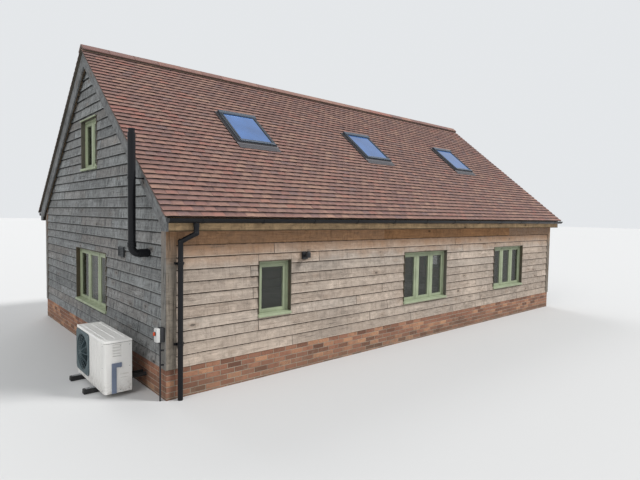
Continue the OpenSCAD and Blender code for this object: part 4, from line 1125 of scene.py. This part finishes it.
class OUTBUILDING_OT_roof(bpy.types.Operator):
    """Plain tiles on both slopes, ridge tiles in mortar and the pointed verges"""

    bl_idname = "outbuilding.roof"
    bl_label = "Tiled Roof"

    def execute(self, context):
        f = settings("finishes")
        tiles = clay("plain_tiles", f.tile_dark, f.tile_mid, f.tile_pale)
        # Mortar of the verges and ridge bed in a dark brown that is in part painted shade
        mortar = mineral("roof_mortar_painted_shade", shade(f.mortar, 0.30), 90.0)
        for name, turn in (("front", 1), ("back", -1)):
            bm = tile_rows(turn, random.Random("tiles " + name))
            piece(name + "_tiles", bm, [tiles], [name + "_tiling"])
        self.ridge(tiles, mortar)
        self.verges(mortar)
        return {"FINISHED"}

    def ridge(self, tiles, mortar):
        """Ridge tiles, with their mortar bed a little in from their edges."""
        r = settings("roof")
        rng = random.Random("ridge")
        count = round(2 * VERGE_X / r.ridge_tile)
        each = 2 * VERGE_X / count
        heap = Heap()
        for i in range(count):
            ends = (-VERGE_X + i * each + RIDGE_JOINT, -VERGE_X + (i + 1) * each - RIDGE_JOINT)
            ridge_piece(heap, rng, rng.random(), ends, RIDGE_OFF, r.ridge_wing, RIDGE_THICK)
        ridge_piece(heap, random.Random(1), 0.5, (-VERGE_X + BED_END, VERGE_X - BED_END), BED_OFF,
                    r.ridge_wing - BED_IN, BED_THICK, 1)
        piece("ridge", heap.done(), [tiles, mortar], ["ridge_tiles"], smooth=30)

    def verges(self, mortar):
        """Mortar and undercloak between the tiles and the barge boards."""
        r = settings("roof")
        heap = Heap()
        top = -r.tiling + UNDERCLOAK
        layers = ((0.010, 0.012, top, -2 * r.tile), (0.004, 0.008, -r.tiling, top))
        for turn in (1, -1):
            part = bmesh.new()
            for side in (1, -1):
                for back, foot, low, high in layers:
                    x0, x1 = sorted((side * (BARGE_X - VERGE_IN), side * (VERGE_X - back)))
                    block(part, (x0, foot, low), (x1, slope_run(), high))
            heap.take(part, slope(turn))
        piece("verge_mortar", heap.done(), [mortar])


# Timber


class OUTBUILDING_OT_timber(bpy.types.Operator):
    """Finishes of the posts, eaves, barge boards and the frame inside"""

    bl_idname = "outbuilding.timber"
    bl_label = "Posts, Eaves and Frame"

    def execute(self, context):
        f = settings("finishes")
        coat(weathered("corner_posts", f.post, "Z", seeded=False, warm=0.3, drips=0.3, cracks=1.0,
                       fresh=(SOFFIT_Z - 0.45, SOFFIT_Z, f.fresh_board, 0.7)), "corner_posts")
        # foot=SOFFIT_Z paints shade along the fascia's lower edge
        coat(weathered("eaves_boards", f.fascia, "X", seeded=False, warm=0.35, drips=0.3, foot=SOFFIT_Z),
             "fascias_and_soffits")
        coat(weathered("barge_timber", f.barge, "Y", rake=settings("roof").pitch, seeded=False, warm=0.1,
                       drips=0.5), "barge_boards")
        coat(sawn("sawn_softwood", f.inner_timber), "front_wall", "back_wall", "service_gable_wall",
             "far_gable_wall", "loft_floor")
        # The rafters take the inner timber made darker, as painted shade under the deck
        coat(sawn("rafter_softwood_painted_shade", shade(f.inner_timber, 0.45)), "front_rafters", "back_rafters")
        return {"FINISHED"}


# Joinery


# Windows: set-back of rails behind stiles, play of a casement, lift of the frame's lower rail, and beads
RAIL_BACK, CASEMENT_RAIL_BACK = 0.0015, 0.001
PLAY, SILL_SEAT = 0.002, 0.004
BEAD, BEAD_BACK, BEAD_DEEP, BEAD_ARRIS = 0.008, 0.012, 0.006, 0.0012

# Slope of a sill's top, back and front, the linings' thickness and their foot, and the drip board's section
SILL_RISE, SILL_FALL = 0.004, 0.008
LINING, LINING_UP = 0.012, 0.05
DRIP_OUT, DRIP_HIGH = 0.022, 0.018

# Door: its frame's face, gap round the leaf, number and thickness of its boards, and its ledges
JAMB, LEAF_GAP, LEAF_BOARDS, LEAF_THICK = 0.06, 0.003, 7, 0.03
LEDGE_IN, LEDGE_HIGH, LEDGE_THICK = 0.01, 0.12, 0.014

# Ironwork: thickness of plates, length of a strap past the pin, and spacing of its screws
PLATE, STRAP, SCREW_STEP = 0.006, 0.42, 0.1


def border(bm, sides, depths, face, foot, arris, back):
    """A frame on a wall: stiles as high as its sides, and rails set back between them, the lower one as high
    as foot, or none for 0."""
    left, right, low, top = sides
    y0, y1 = depths
    for x in (left, right - face):
        bar(bm, (x, y0, low), (x + face, y1, top), arris)
    bar(bm, (left + face, y0 + back, top - face), (right - face, y1, top), arris)
    if foot:
        bar(bm, (left + face, y0 + back, low), (right - face, y1, low + foot), arris)


def casement(bm, sides, front):
    """A casement with the beads of its glass."""
    j = settings("joinery")
    left, right, low, top = sides
    face = j.sash_face
    border(bm, sides, (front, front + j.sash_deep), face, face, j.arris, CASEMENT_RAIL_BACK)
    bead = front + BEAD_BACK
    border(bm, (left + face, right - face, low + face, top - face), (bead, bead + BEAD_DEEP), BEAD, BEAD,
           BEAD_ARRIS, 0.0)


def window(heap, place, hole, lights):
    """A window in its opening: frame, mullions, casements with beads, and a sill."""
    j = settings("joinery")
    left, right, foot, top = hole
    part = bmesh.new()
    face, front, back = j.frame_face, j.window_set, j.window_set + j.frame_deep
    rail = j.sill + SILL_SEAT
    border(part, hole, (front, back), face, rail, j.arris, RAIL_BACK)
    bay = (right - left - face) / lights
    for i in range(lights):
        x = left + i * bay
        if i:
            bar(part, (x, front + RAIL_BACK, foot + rail), (x + face, back, top - face), j.arris)
        casement(part, (x + face + PLAY, x + bay - PLAY, foot + rail + PLAY, top - face - PLAY),
                 front + j.sash_set)
    sill = block(part, (left, -j.sill_out, foot), (right, front, foot + j.sill))
    for v in sill:
        if v.co.z > foot + j.sill / 2:
            v.co.z += SILL_RISE if v.co.y > 0 else -SILL_FALL
    rounded(part, sill, 0.004, 2)
    heap.take(part, place)


def lining(heap, place, rng, hole):
    """Boards that line an opening in front of its frame, dark as painted shade."""
    left, right, foot, top = hole
    part = bmesh.new()
    layer = marked(part, "seed")[0]
    deep = settings("joinery").window_set
    for low, high in (((left, 0.001, foot + LINING_UP), (left + LINING, deep, top - LINING)),
                      ((right - LINING, 0.001, foot + LINING_UP), (right, deep, top - LINING)),
                      ((left, -0.002, top - LINING), (right, deep, top))):
        seed = rng.random()
        for v in block(part, low, high):
            v[layer] = seed
    heap.take(part, place)


def drip_board(heap, place):
    """The drip board over a loft window."""
    left, right, _, top = LOFT_WINDOW
    part = bmesh.new()
    bar(part, (left, -DRIP_OUT, top - DRIP_HIGH), (right, 0.0, top))
    heap.take(part, place)


class OUTBUILDING_OT_windows(bpy.types.Operator):
    """Green casement windows with their glass and linings"""

    bl_idname = "outbuilding.windows"
    bl_label = "Windows"

    def execute(self, context):
        f = settings("finishes")
        paint = painted_wood("green_joinery", f.joinery)
        linings = Heap()
        rng = random.Random("linings")
        for name, walls in (("front", ["front"]), ("back", ["back"]),
                            ("gable", ["service_gable", "far_gable"])):
            heap = Heap()
            for wall in walls:
                for hole, lights in windows_of(wall):
                    window(heap, WALLS[wall], hole, lights)
                    lining(linings, WALLS[wall], rng, hole)
                if name == "gable":
                    drip_board(heap, WALLS[wall])
            piece(name + "_casements", heap.done(), [paint], [name + "_windows"])
        # The linings take the dark reveal colour: painted shade in the openings
        reveal = weathered("reveal_boards_painted_shade", f.reveal, "Z", warm=0.2)
        piece("window_linings", linings.done(), [reveal])
        coat(glass("window_panes", (0.020, 0.024, 0.016), 0.42), "window_glass", "gable_window_glass")
        return {"FINISHED"}


class OUTBUILDING_OT_door(bpy.types.Operator):
    """The boarded door in the back wall, with its frame, hinges and handle"""

    bl_idname = "outbuilding.door"
    bl_label = "Back Door"

    def execute(self, context):
        j, f = settings("joinery"), settings("finishes")
        left, right, foot, top = DOOR
        jambs, leaf, metal = bmesh.new(), bmesh.new(), bmesh.new()
        depths = (j.window_set, j.window_set + j.frame_deep)
        border(jambs, DOOR, depths, JAMB, 0, j.arris, CASEMENT_RAIL_BACK)
        inset = JAMB + LEAF_GAP
        x0, x1, z0, z1 = left + inset, right - inset, foot + 0.004, top - inset
        front = j.window_set + j.sash_set
        back = front + LEAF_THICK
        step = (x1 - x0) / LEAF_BOARDS
        for i in range(LEAF_BOARDS):
            bar(leaf, (x0 + i * step, front, z0), (x0 + (i + 1) * step, back, z1), 0.004)
        ledges = (z0 + 0.18, (z0 + z1) / 2, z1 - 0.22)
        for z in ledges:
            bar(leaf, (x0 + LEDGE_IN, back, z), (x1 - LEDGE_IN, back + LEDGE_THICK, z + LEDGE_HIGH))
        for z in (ledges[0], ledges[2]):
            self.hinge(metal, x0, front, z + LEDGE_HIGH / 2)
        self.handle(metal, x1, front, (foot + top - JAMB) / 2)
        door_frame, door = Heap(), Heap()
        door_frame.take(jambs, WALLS["back"])
        door.take(leaf, WALLS["back"])
        door.take(metal, WALLS["back"], 1)
        paint = painted_wood("door_paint", f.joinery)
        iron = coated("door_iron", (0.02, 0.02, 0.022), 0.45, 0.6)
        piece("door_frame", door_frame.done(), [paint], ["back_door_frame"])
        piece("boarded_door", door.done(), [paint, iron], ["back_door"])
        return {"FINISHED"}

    def hinge(self, bm, x, y, z):
        """A strap hinge with its pin and four screws."""
        bar(bm, (x - 0.03, y - PLATE, z - 0.02), (x + STRAP, y, z + 0.02), 0.002)
        rod(bm, (x - 0.01, y - 0.010, z - 0.03), UP, 0.009, 0.06, 16, 0.002)
        for k in range(4):
            disc(bm, (x + 0.06 + k * SCREW_STEP, y - PLATE, z), OUT, *HINGE_SCREW)

    def handle(self, bm, x, y, z):
        """A lever handle on its plate, over a lock."""
        bar(bm, (x - 0.09, y - PLATE, z - 0.09), (x - 0.05, y, z + 0.09), 0.003)
        rod(bm, (x - 0.07, y - 0.055, z + 0.02), (0, 1, 0), 0.010, 0.05, 20, 0.002)
        rod(bm, (x - 0.062, y - 0.052, z + 0.02), (-1, 0, 0), 0.009, 0.12, 20, 0.004, 2)
        disc(bm, (x - 0.07, y - 0.008, z - 0.05), (0, 1, 0), 0.011, 0.004, 20)


# Roof windows: width, top and distance in of the kerb, sash and gasket
KERB, KERB_TOP = 0.032, 0.042
SASH, SASH_TOP, SASH_IN = 0.030, 0.050, 0.034
GASKET, GASKET_TOP, GASKET_IN = 0.013, 0.0415, 0.064

# Covers: their underside, the hood's length, top and lean, and the lower cover's length, top and play
COVER_LOW = 0.044
HOOD, HOOD_TOP, HOOD_LEAN = 0.095, 0.066, 0.012
LOWER, LOWER_TOP, LOWER_IN = 0.056, 0.0535, 0.03

# Lead: thickness, reach of the gutters past the frame, the apron's length and rise onto the kerb, and
# depth and waves of its pleats
LEAD, LEAD_OUT = 0.0022, 0.035
APRON, APRON_RISE = 0.15, 0.016
PLEAT, PLEAT_WAVES = 0.0022, 145


def ring(bm, x, s, face, low, high, arris):
    """Four bars just inside a rectangle of half sizes x and s on the slope, with butted corners."""
    for x0, x1 in ((-x, -x + face), (x - face, x)):
        bar(bm, (x0, -s, low), (x1, s, high), arris)
    for s0, s1 in ((-s, -s + face), (s - face, s)):
        bar(bm, (-x + face, s0, low), (x - face, s1, high - 0.0005), arris)


def roof_window(heap, place):
    """Cladding of one roof window about its middle: kerb, sash, screws, hood, lower cover and gasket."""
    r = settings("roof")
    x, s, deep = ROOFLIGHT_W / 2, ROOFLIGHT_L / 2, -r.tiling - r.deck
    metal, covers, gasket = bmesh.new(), bmesh.new(), bmesh.new()
    ring(metal, x, s, KERB, deep, KERB_TOP, 0.003)
    ring(metal, x - SASH_IN, s - SASH_IN, SASH, deep, SASH_TOP, 0.005)
    ring(gasket, x - GASKET_IN, s - GASKET_IN, GASKET, 0.030, GASKET_TOP, 0.002)
    for side in (-1, 1):
        for up in (-0.36, -0.12, 0.12, 0.33):
            disc(metal, (side * (x - KERB / 2), up, KERB_TOP - 0.0005), UP, *ROOF_SCREW)
    hood = block(covers, (-x, s - HOOD, COVER_LOW), (x, s, HOOD_TOP))
    for v in hood:
        if v.co.y < s - HOOD / 2 and v.co.z > (COVER_LOW + HOOD_TOP) / 2:
            v.co.y += HOOD_LEAN
    rounded(covers, hood, 0.004, 2)
    low = -s + 0.006
    bar(covers, (-x + LOWER_IN, low, COVER_LOW), (x - LOWER_IN, low + LOWER, LOWER_TOP), 0.004, 2)
    for material, part in enumerate((metal, covers, gasket)):
        heap.take(part, place, material)


def flashing(heap, place):
    """Side gutters and upstands of one roof window, and its apron dressed over the tile courses."""
    r = settings("roof")
    x, s = ROOFLIGHT_W / 2, ROOFLIGHT_L / 2
    part, sheet = bmesh.new(), bmesh.new()
    ring(part, x + 0.006, s + 0.006, 0.006, -0.002, 0.026, 0.0012)
    for side in (-1, 1):
        for near, far, low, high in ((0.004, LEAD_OUT, 0.0, 0.005), (0.029, 0.034, 0.002, 0.010)):
            x0, x1 = sorted((side * (x + near), side * (x + far)))
            bar(part, (x0, -s, low), (x1, s + 0.03, high), 0.0015)
    bar(part, (-x - LEAD_OUT, s + 0.004, 0.0), (x + LEAD_OUT, s + 0.034, 0.006), 0.002)
    bmesh.ops.create_grid(sheet, x_segments=84, y_segments=16, size=0.5)
    for v in sheet.verts:
        share = v.co.y + 0.5
        along = v.co.x * 2 * (x + LEAD_OUT)
        up = -s - APRON * (1 - share) + 0.004
        back = ((ROOFLIGHT_UP + up) / r.gauge) % 1.0
        pleat = PLEAT * math.sin(along * PLEAT_WAVES) * (1 - share)
        rise = max(0.0, share - 0.86) / 0.14 * APRON_RISE
        v.co = (along, up, 0.0065 - back * r.tile * (1 - 0.4 * share) + pleat + rise)
    bmesh.ops.recalc_face_normals(sheet, faces=sheet.faces)
    bmesh.ops.solidify(sheet, geom=sheet.faces, thickness=LEAD)
    heap.take(part, place)
    heap.take(sheet, place)


class OUTBUILDING_OT_roof_windows(bpy.types.Operator):
    """Roof windows with their hoods, gaskets and flashings"""

    bl_idname = "outbuilding.roof_windows"
    bl_label = "Roof Windows"

    def execute(self, context):
        f = settings("finishes")
        frames, sheets = Heap(), Heap()
        for turn in (1, -1):
            for x in ROOFLIGHTS:
                place = slope(turn, x, ROOFLIGHT_UP)
                roof_window(frames, place)
                flashing(sheets, place)
        metal = coated("roof_window_metal", f.cladding, 0.40, 0.5, 0.3)
        hood = coated("roof_window_hood", f.hood, 0.34, 0.5, 0.3)
        gasket = plastic("gasket", (0.01, 0.01, 0.01), 0.6)
        lead = coated("flashing_metal", f.lead, 0.55, 0.3, 0.5)
        piece("roof_window_frames", frames.done(), [metal, hood, gasket],
              ["roof_windows"])
        piece("roof_window_sheets", sheets.done(), [lead], ["roof_window_flashing"], smooth=35)
        # The roof panes' blue is a painted reflection of sky
        coat(glass("roof_panes_painted_sky", (0.035, 0.120, 0.330), 0.95), "roof_window_glass")
        return {"FINISHED"}


# Fittings


class OUTBUILDING_OT_rainwater(bpy.types.Operator):
    """Gutters, downpipes and the soil pipe"""

    bl_idname = "outbuilding.rainwater"
    bl_label = "Gutters and Pipes"

    def execute(self, context):
        coat(plastic("black_goods", settings("finishes").black, 0.30, 0.04, gloss=0.22),
             "front_gutter", "back_gutter", "downpipes", "soil_pipe", "soil_pipe_bracket")
        return {"FINISHED"}


class OUTBUILDING_OT_wall_fittings(bpy.types.Operator):
    """Wall vent, lamp and isolator"""

    bl_idname = "outbuilding.wall_fittings"
    bl_label = "Wall Fittings"

    def execute(self, context):
        dark = plastic("dark_fittings", shade(settings("finishes").black, 1.5), 0.5)
        coat(dark, "wall_lamp", "isolator_conduit")
        coat(plastic("vent_plastic", (0.030, 0.033, 0.036), 0.55), "wall_vent")
        self.isolator(dark)
        return {"FINISHED"}

    def isolator(self, dark):
        """The rotary isolator: black base, white lid with four screws, orange-red knob."""
        low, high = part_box("isolator")
        y0, y1, z0, z1 = -high.y, -low.y, low.z, high.z
        y, z = (y0 + y1) / 2, z0 + (z1 - z0) * 0.62
        inset = 0.014
        base, lid, knob = bmesh.new(), bmesh.new(), bmesh.new()
        bar(base, (y0, -0.060, z0), (y1, 0.0, z1), 0.004, 2)
        bar(lid, (y0 + 0.004, -0.110, z0 + 0.004), (y1 - 0.004, -0.062, z1 - 0.004), 0.006, 3)
        for screw_y in (y0 + inset, y1 - inset):
            for screw_z in (z0 + inset, z1 - inset):
                disc(base, (screw_y, -0.109, screw_z), OUT, *LID_SCREW)
        rod(base, (y, -0.109, z), OUT, 0.029, 0.008, 40, 0.002)
        rod(knob, (y, -0.115, z), OUT, 0.023, 0.006, 32, 0.002)
        bar(knob, (y - 0.008, -0.136, z - 0.023), (y + 0.008, -0.114, z + 0.023), 0.004, 3)
        switch = Heap()
        for material, part in enumerate((base, lid, knob)):
            switch.take(part, WALLS["service_gable"], material)
        white = plastic("isolator_lid", (0.62, 0.62, 0.60), 0.35)
        red = plastic("isolator_knob", settings("finishes").knob, 0.4, 0.1)
        piece("isolator_switch", switch.done(), [dark, white, red], ["isolator"],
              smooth=40)


# Heat pump's feet: half their length, their taper, and the rails' start, sides, reach and crossbars
FOOT_HALF, FOOT_TAPER = 0.05, 0.01
RAIL_IN, RAIL_NEAR, RAIL_FAR, RAIL_OUT = 0.03, 0.008, 0.025, 0.02
CROSSBARS, CROSSBAR = (0.03, 0.085, 0.14), 0.014


class OUTBUILDING_OT_heat_pump(bpy.types.Operator):
    """The heat pump's casing, guard, fan, covers and feet"""

    bl_idname = "outbuilding.heat_pump"
    bl_label = "Heat Pump"

    def execute(self, context):
        f = settings("finishes")
        front, (low, high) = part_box("heat_pump_casing")[0].x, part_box("heat_pump_fan")
        # The fan well, where the casing's coat paints shade; the casing also gets a painted shadow line
        # under the lid
        well = ((front + 0.006, (low.y + high.y) / 2, (low.z + high.z) / 2), (high.z - low.z) / 2 + 0.05)
        coat(coated("casing_coat", f.casing, 0.42, grime=0.22, foot=(0.06, 0.26), well=well,
                    seam=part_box("heat_pump_lid")[0].z), "heat_pump_casing")
        # The lid is the casing's coat made lighter: painted light on its upward face
        coat(coated("lid_coat_painted_light", shade(f.casing, 1.08), 0.40, grime=0.14), "heat_pump_lid")
        coat(plastic("guard_plastic", f.guard, 0.42, 0.15), "heat_pump_guard")
        coat(plastic("fan_plastic", shade(f.guard, 0.5), 0.5), "heat_pump_fan")
        coat(plastic("valve_plastic", f.valve, 0.5), "heat_pump_valve_cover")
        coat(plastic("pipe_lagging", (0.02, 0.02, 0.02), 0.8), "heat_pump_pipes")
        self.feet()
        self.fixings()
        return {"FINISHED"}

    def feet(self):
        """Rubber feet with slotted steel rails and the bolts of the casing's legs."""
        low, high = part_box("heat_pump_feet")
        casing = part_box("heat_pump_casing")[0]
        top, reach = casing.z, casing.x + RAIL_OUT
        heap = Heap()
        for y in (low.y + FOOT_HALF, high.y - FOOT_HALF):
            rubber, steel = bmesh.new(), bmesh.new()
            foot = block(rubber, (low.x, y - FOOT_HALF, 0.0), (high.x, y + FOOT_HALF, top))
            for v in foot:
                if v.co.z > top / 2:
                    v.co.y += FOOT_TAPER if v.co.y < y else -FOOT_TAPER
            rounded(rubber, foot, 0.005, 2)
            for y0, y1 in ((y - RAIL_FAR, y - RAIL_NEAR), (y + RAIL_NEAR, y + RAIL_FAR)):
                bar(steel, (low.x + RAIL_IN, y0, top - 0.001), (reach, y1, top + 0.005), 0.0012)
            for x in CROSSBARS:
                bar(steel, (low.x + x, y - 0.012, top - 0.001),
                    (low.x + x + CROSSBAR, y + 0.012, top + 0.0045), 0.001)
            for up, bolt in ((0.004, (0.011, 0.007, 6)), (0.010, (0.005, 0.008, 12))):
                disc(steel, (reach - 0.045, y, top + up), UP, *bolt)
            heap.take(rubber)
            heap.take(steel, material=1)
        rubber = plastic("foot_rubber", (0.018, 0.018, 0.018), 0.75)
        steel = coated("foot_rails", (0.42, 0.43, 0.44), 0.38, 0.9, 0.3)
        piece("pump_feet", heap.done(), [rubber, steel], ["heat_pump_feet"])

    def fixings(self):
        """Screws of the casing's panels and clips of the fan guard."""
        low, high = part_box("heat_pump_casing")
        bm = bmesh.new()
        for z in (low.z + 0.035, high.z - 0.045, (low.z + high.z) / 2):
            for x in (low.x + 0.20, high.x - 0.03):
                disc(bm, (x, low.y + 0.0005, z), OUT, *PANEL_SCREW)
            disc(bm, (low.x + 0.0005, low.y + 0.085, z), FORWARD, *PANEL_SCREW)
        low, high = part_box("heat_pump_guard")
        for y in (low.y + 0.03, high.y - 0.03):
            for z in (low.z + 0.03, high.z - 0.03):
                disc(bm, (high.x - 0.0135, y, z), FORWARD, *GUARD_CLIP)
        piece("pump_screws", bm, [coated("screw_steel", (0.30, 0.30, 0.30), 0.35, 0.9)])


# Studio


SKY_LIGHT = (0.93, 0.96, 1.0)
SENSOR, FARTHEST, FLOOR_SIZE = 36.0, 400.0, 150.0

# Lamps: direction towards each, its share of the key's strength, and its spread in degrees
LAMPS = {
    "key": ((0.62, -0.62, 0.80), 1.0, 14),
    "side": ((-0.85, -0.35, 0.70), 0.45, 40),
    "rear": ((0.2, 0.95, 0.75), 0.45, 40),
}


class OUTBUILDING_OT_stage(bpy.types.Operator):
    """Camera, floor and soft lights"""

    bl_idname = "outbuilding.stage"
    bl_label = "Studio"

    def execute(self, context):
        t, scene = settings("studio"), context.scene
        scene.view_settings.view_transform = "Standard"
        self.camera(scene, t)
        self.floor(scene, t)
        for name, (towards, share, spread) in LAMPS.items():
            data = bpy.data.lights.new(name, "SUN")
            data.energy, data.angle = t.key * share, math.radians(spread)
            lamp = bpy.data.objects.new(name, data)
            lamp.rotation_mode = "QUATERNION"
            lamp.rotation_quaternion = Vector(towards).normalized().to_track_quat("Z", "Y")
            scene.collection.objects.link(lamp)
        self.world(scene, t)
        return {"FINISHED"}

    def camera(self, scene, t):
        """The photo's camera, from its place, its angles and its lens."""
        flat = math.cos(t.tilt)
        forward = Vector((math.sin(t.yaw) * flat, math.cos(t.yaw) * flat, math.sin(t.tilt)))
        level = Vector((math.cos(t.yaw), -math.sin(t.yaw), 0))
        upright = level.cross(forward)
        right = math.cos(t.roll) * level + math.sin(t.roll) * upright
        up = -math.sin(t.roll) * level + math.cos(t.roll) * upright
        lens = bpy.data.cameras.new("photo_camera")
        lens.lens, lens.sensor_width, lens.clip_end = t.lens, SENSOR, FARTHEST
        camera = bpy.data.objects.new("photo_camera", lens)
        camera.matrix_world = Matrix((right, up, -forward)).transposed().to_4x4()
        camera.location = t.camera_at
        scene.collection.objects.link(camera)
        scene.camera = camera

    def floor(self, scene, t):
        """A wide pale floor, just under the building."""
        bm = bmesh.new()
        bmesh.ops.create_grid(bm, x_segments=1, y_segments=1, size=FLOOR_SIZE)
        mesh = bpy.data.meshes.new("studio_floor")
        bm.to_mesh(mesh)
        bm.free()
        s = Shader("studio_floor")
        s.tone = t.floor
        mesh.materials.append(s.finish(0.9))
        floor = bpy.data.objects.new("studio_floor", mesh)
        floor.location.z = -0.001
        scene.collection.objects.link(floor)

    def world(self, scene, t):
        """Soft light for surfaces, and a plain backdrop for the camera, glass and metal."""
        world = bpy.data.worlds.new("studio")
        world.use_nodes = True
        tree = world.node_tree
        light = tree.nodes["Background"]
        light.inputs[0].default_value = (*SKY_LIGHT, 1.0)
        light.inputs[1].default_value = t.fill
        back = tree.nodes.new("ShaderNodeBackground")
        back.inputs[0].default_value = (*t.backdrop, 1.0)
        rays = tree.nodes.new("ShaderNodeLightPath").outputs
        seen = rays["Is Camera Ray"]
        for name in ("Is Glossy Ray", "Is Transmission Ray"):
            either = tree.nodes.new("ShaderNodeMath")
            either.operation = "MAXIMUM"
            tree.links.new(seen, either.inputs[0])
            tree.links.new(rays[name], either.inputs[1])
            seen = either.outputs[0]
        mix = tree.nodes.new("ShaderNodeMixShader")
        for index, source in enumerate((seen, light.outputs[0], back.outputs[0])):
            tree.links.new(source, mix.inputs[index])
        tree.links.new(mix.outputs[0], tree.nodes["World Output"].inputs[0])
        scene.world = world


# Panel and registration


class OUTBUILDING_PT_panel(bpy.types.Panel):
    """Lists the building's operators and settings"""

    bl_idname = "OUTBUILDING_PT_panel"
    bl_label = "Outbuilding"
    bl_space_type = "VIEW_3D"
    bl_region_type = "UI"
    bl_category = "Outbuilding"

    def draw(self, context):
        for operator in OPERATORS:
            self.layout.operator(operator.bl_idname)
        for name, group in GROUPS.items():
            box = self.layout.box()
            box.label(text=group.__doc__.rstrip("."))
            for setting in group.__annotations__:
                box.prop(settings(name), setting)


GROUPS = {
    "boards": BoardSettings,
    "roof": RoofSettings,
    "bricks": BrickSettings,
    "joinery": JoinerySettings,
    "finishes": FinishSettings,
    "studio": StudioSettings,
}
OPERATORS = [
    OUTBUILDING_OT_stage,
    OUTBUILDING_OT_plinth,
    OUTBUILDING_OT_timber,
    OUTBUILDING_OT_boards,
    OUTBUILDING_OT_roof,
    OUTBUILDING_OT_windows,
    OUTBUILDING_OT_door,
    OUTBUILDING_OT_roof_windows,
    OUTBUILDING_OT_rainwater,
    OUTBUILDING_OT_wall_fittings,
    OUTBUILDING_OT_heat_pump,
]


def register():
    for name, group in GROUPS.items():
        bpy.utils.register_class(group)
        setattr(bpy.types.Scene, "outbuilding_" + name, PointerProperty(type=group))
    for cls in [*OPERATORS, OUTBUILDING_PT_panel]:
        bpy.utils.register_class(cls)


def unregister():
    for cls in reversed([*OPERATORS, OUTBUILDING_PT_panel]):
        bpy.utils.unregister_class(cls)
    for name, group in reversed(GROUPS.items()):
        delattr(bpy.types.Scene, "outbuilding_" + name)
        bpy.utils.unregister_class(group)


def main():
    register()
    bpy.ops.outbuilding.stage()
    bpy.ops.outbuilding.plinth()
    bpy.ops.outbuilding.timber()
    bpy.ops.outbuilding.boards()
    bpy.ops.outbuilding.roof()
    bpy.ops.outbuilding.windows()
    bpy.ops.outbuilding.door()
    bpy.ops.outbuilding.roof_windows()
    bpy.ops.outbuilding.rainwater()
    bpy.ops.outbuilding.wall_fittings()
    bpy.ops.outbuilding.heat_pump()


if __name__ == "__main__":
    main()
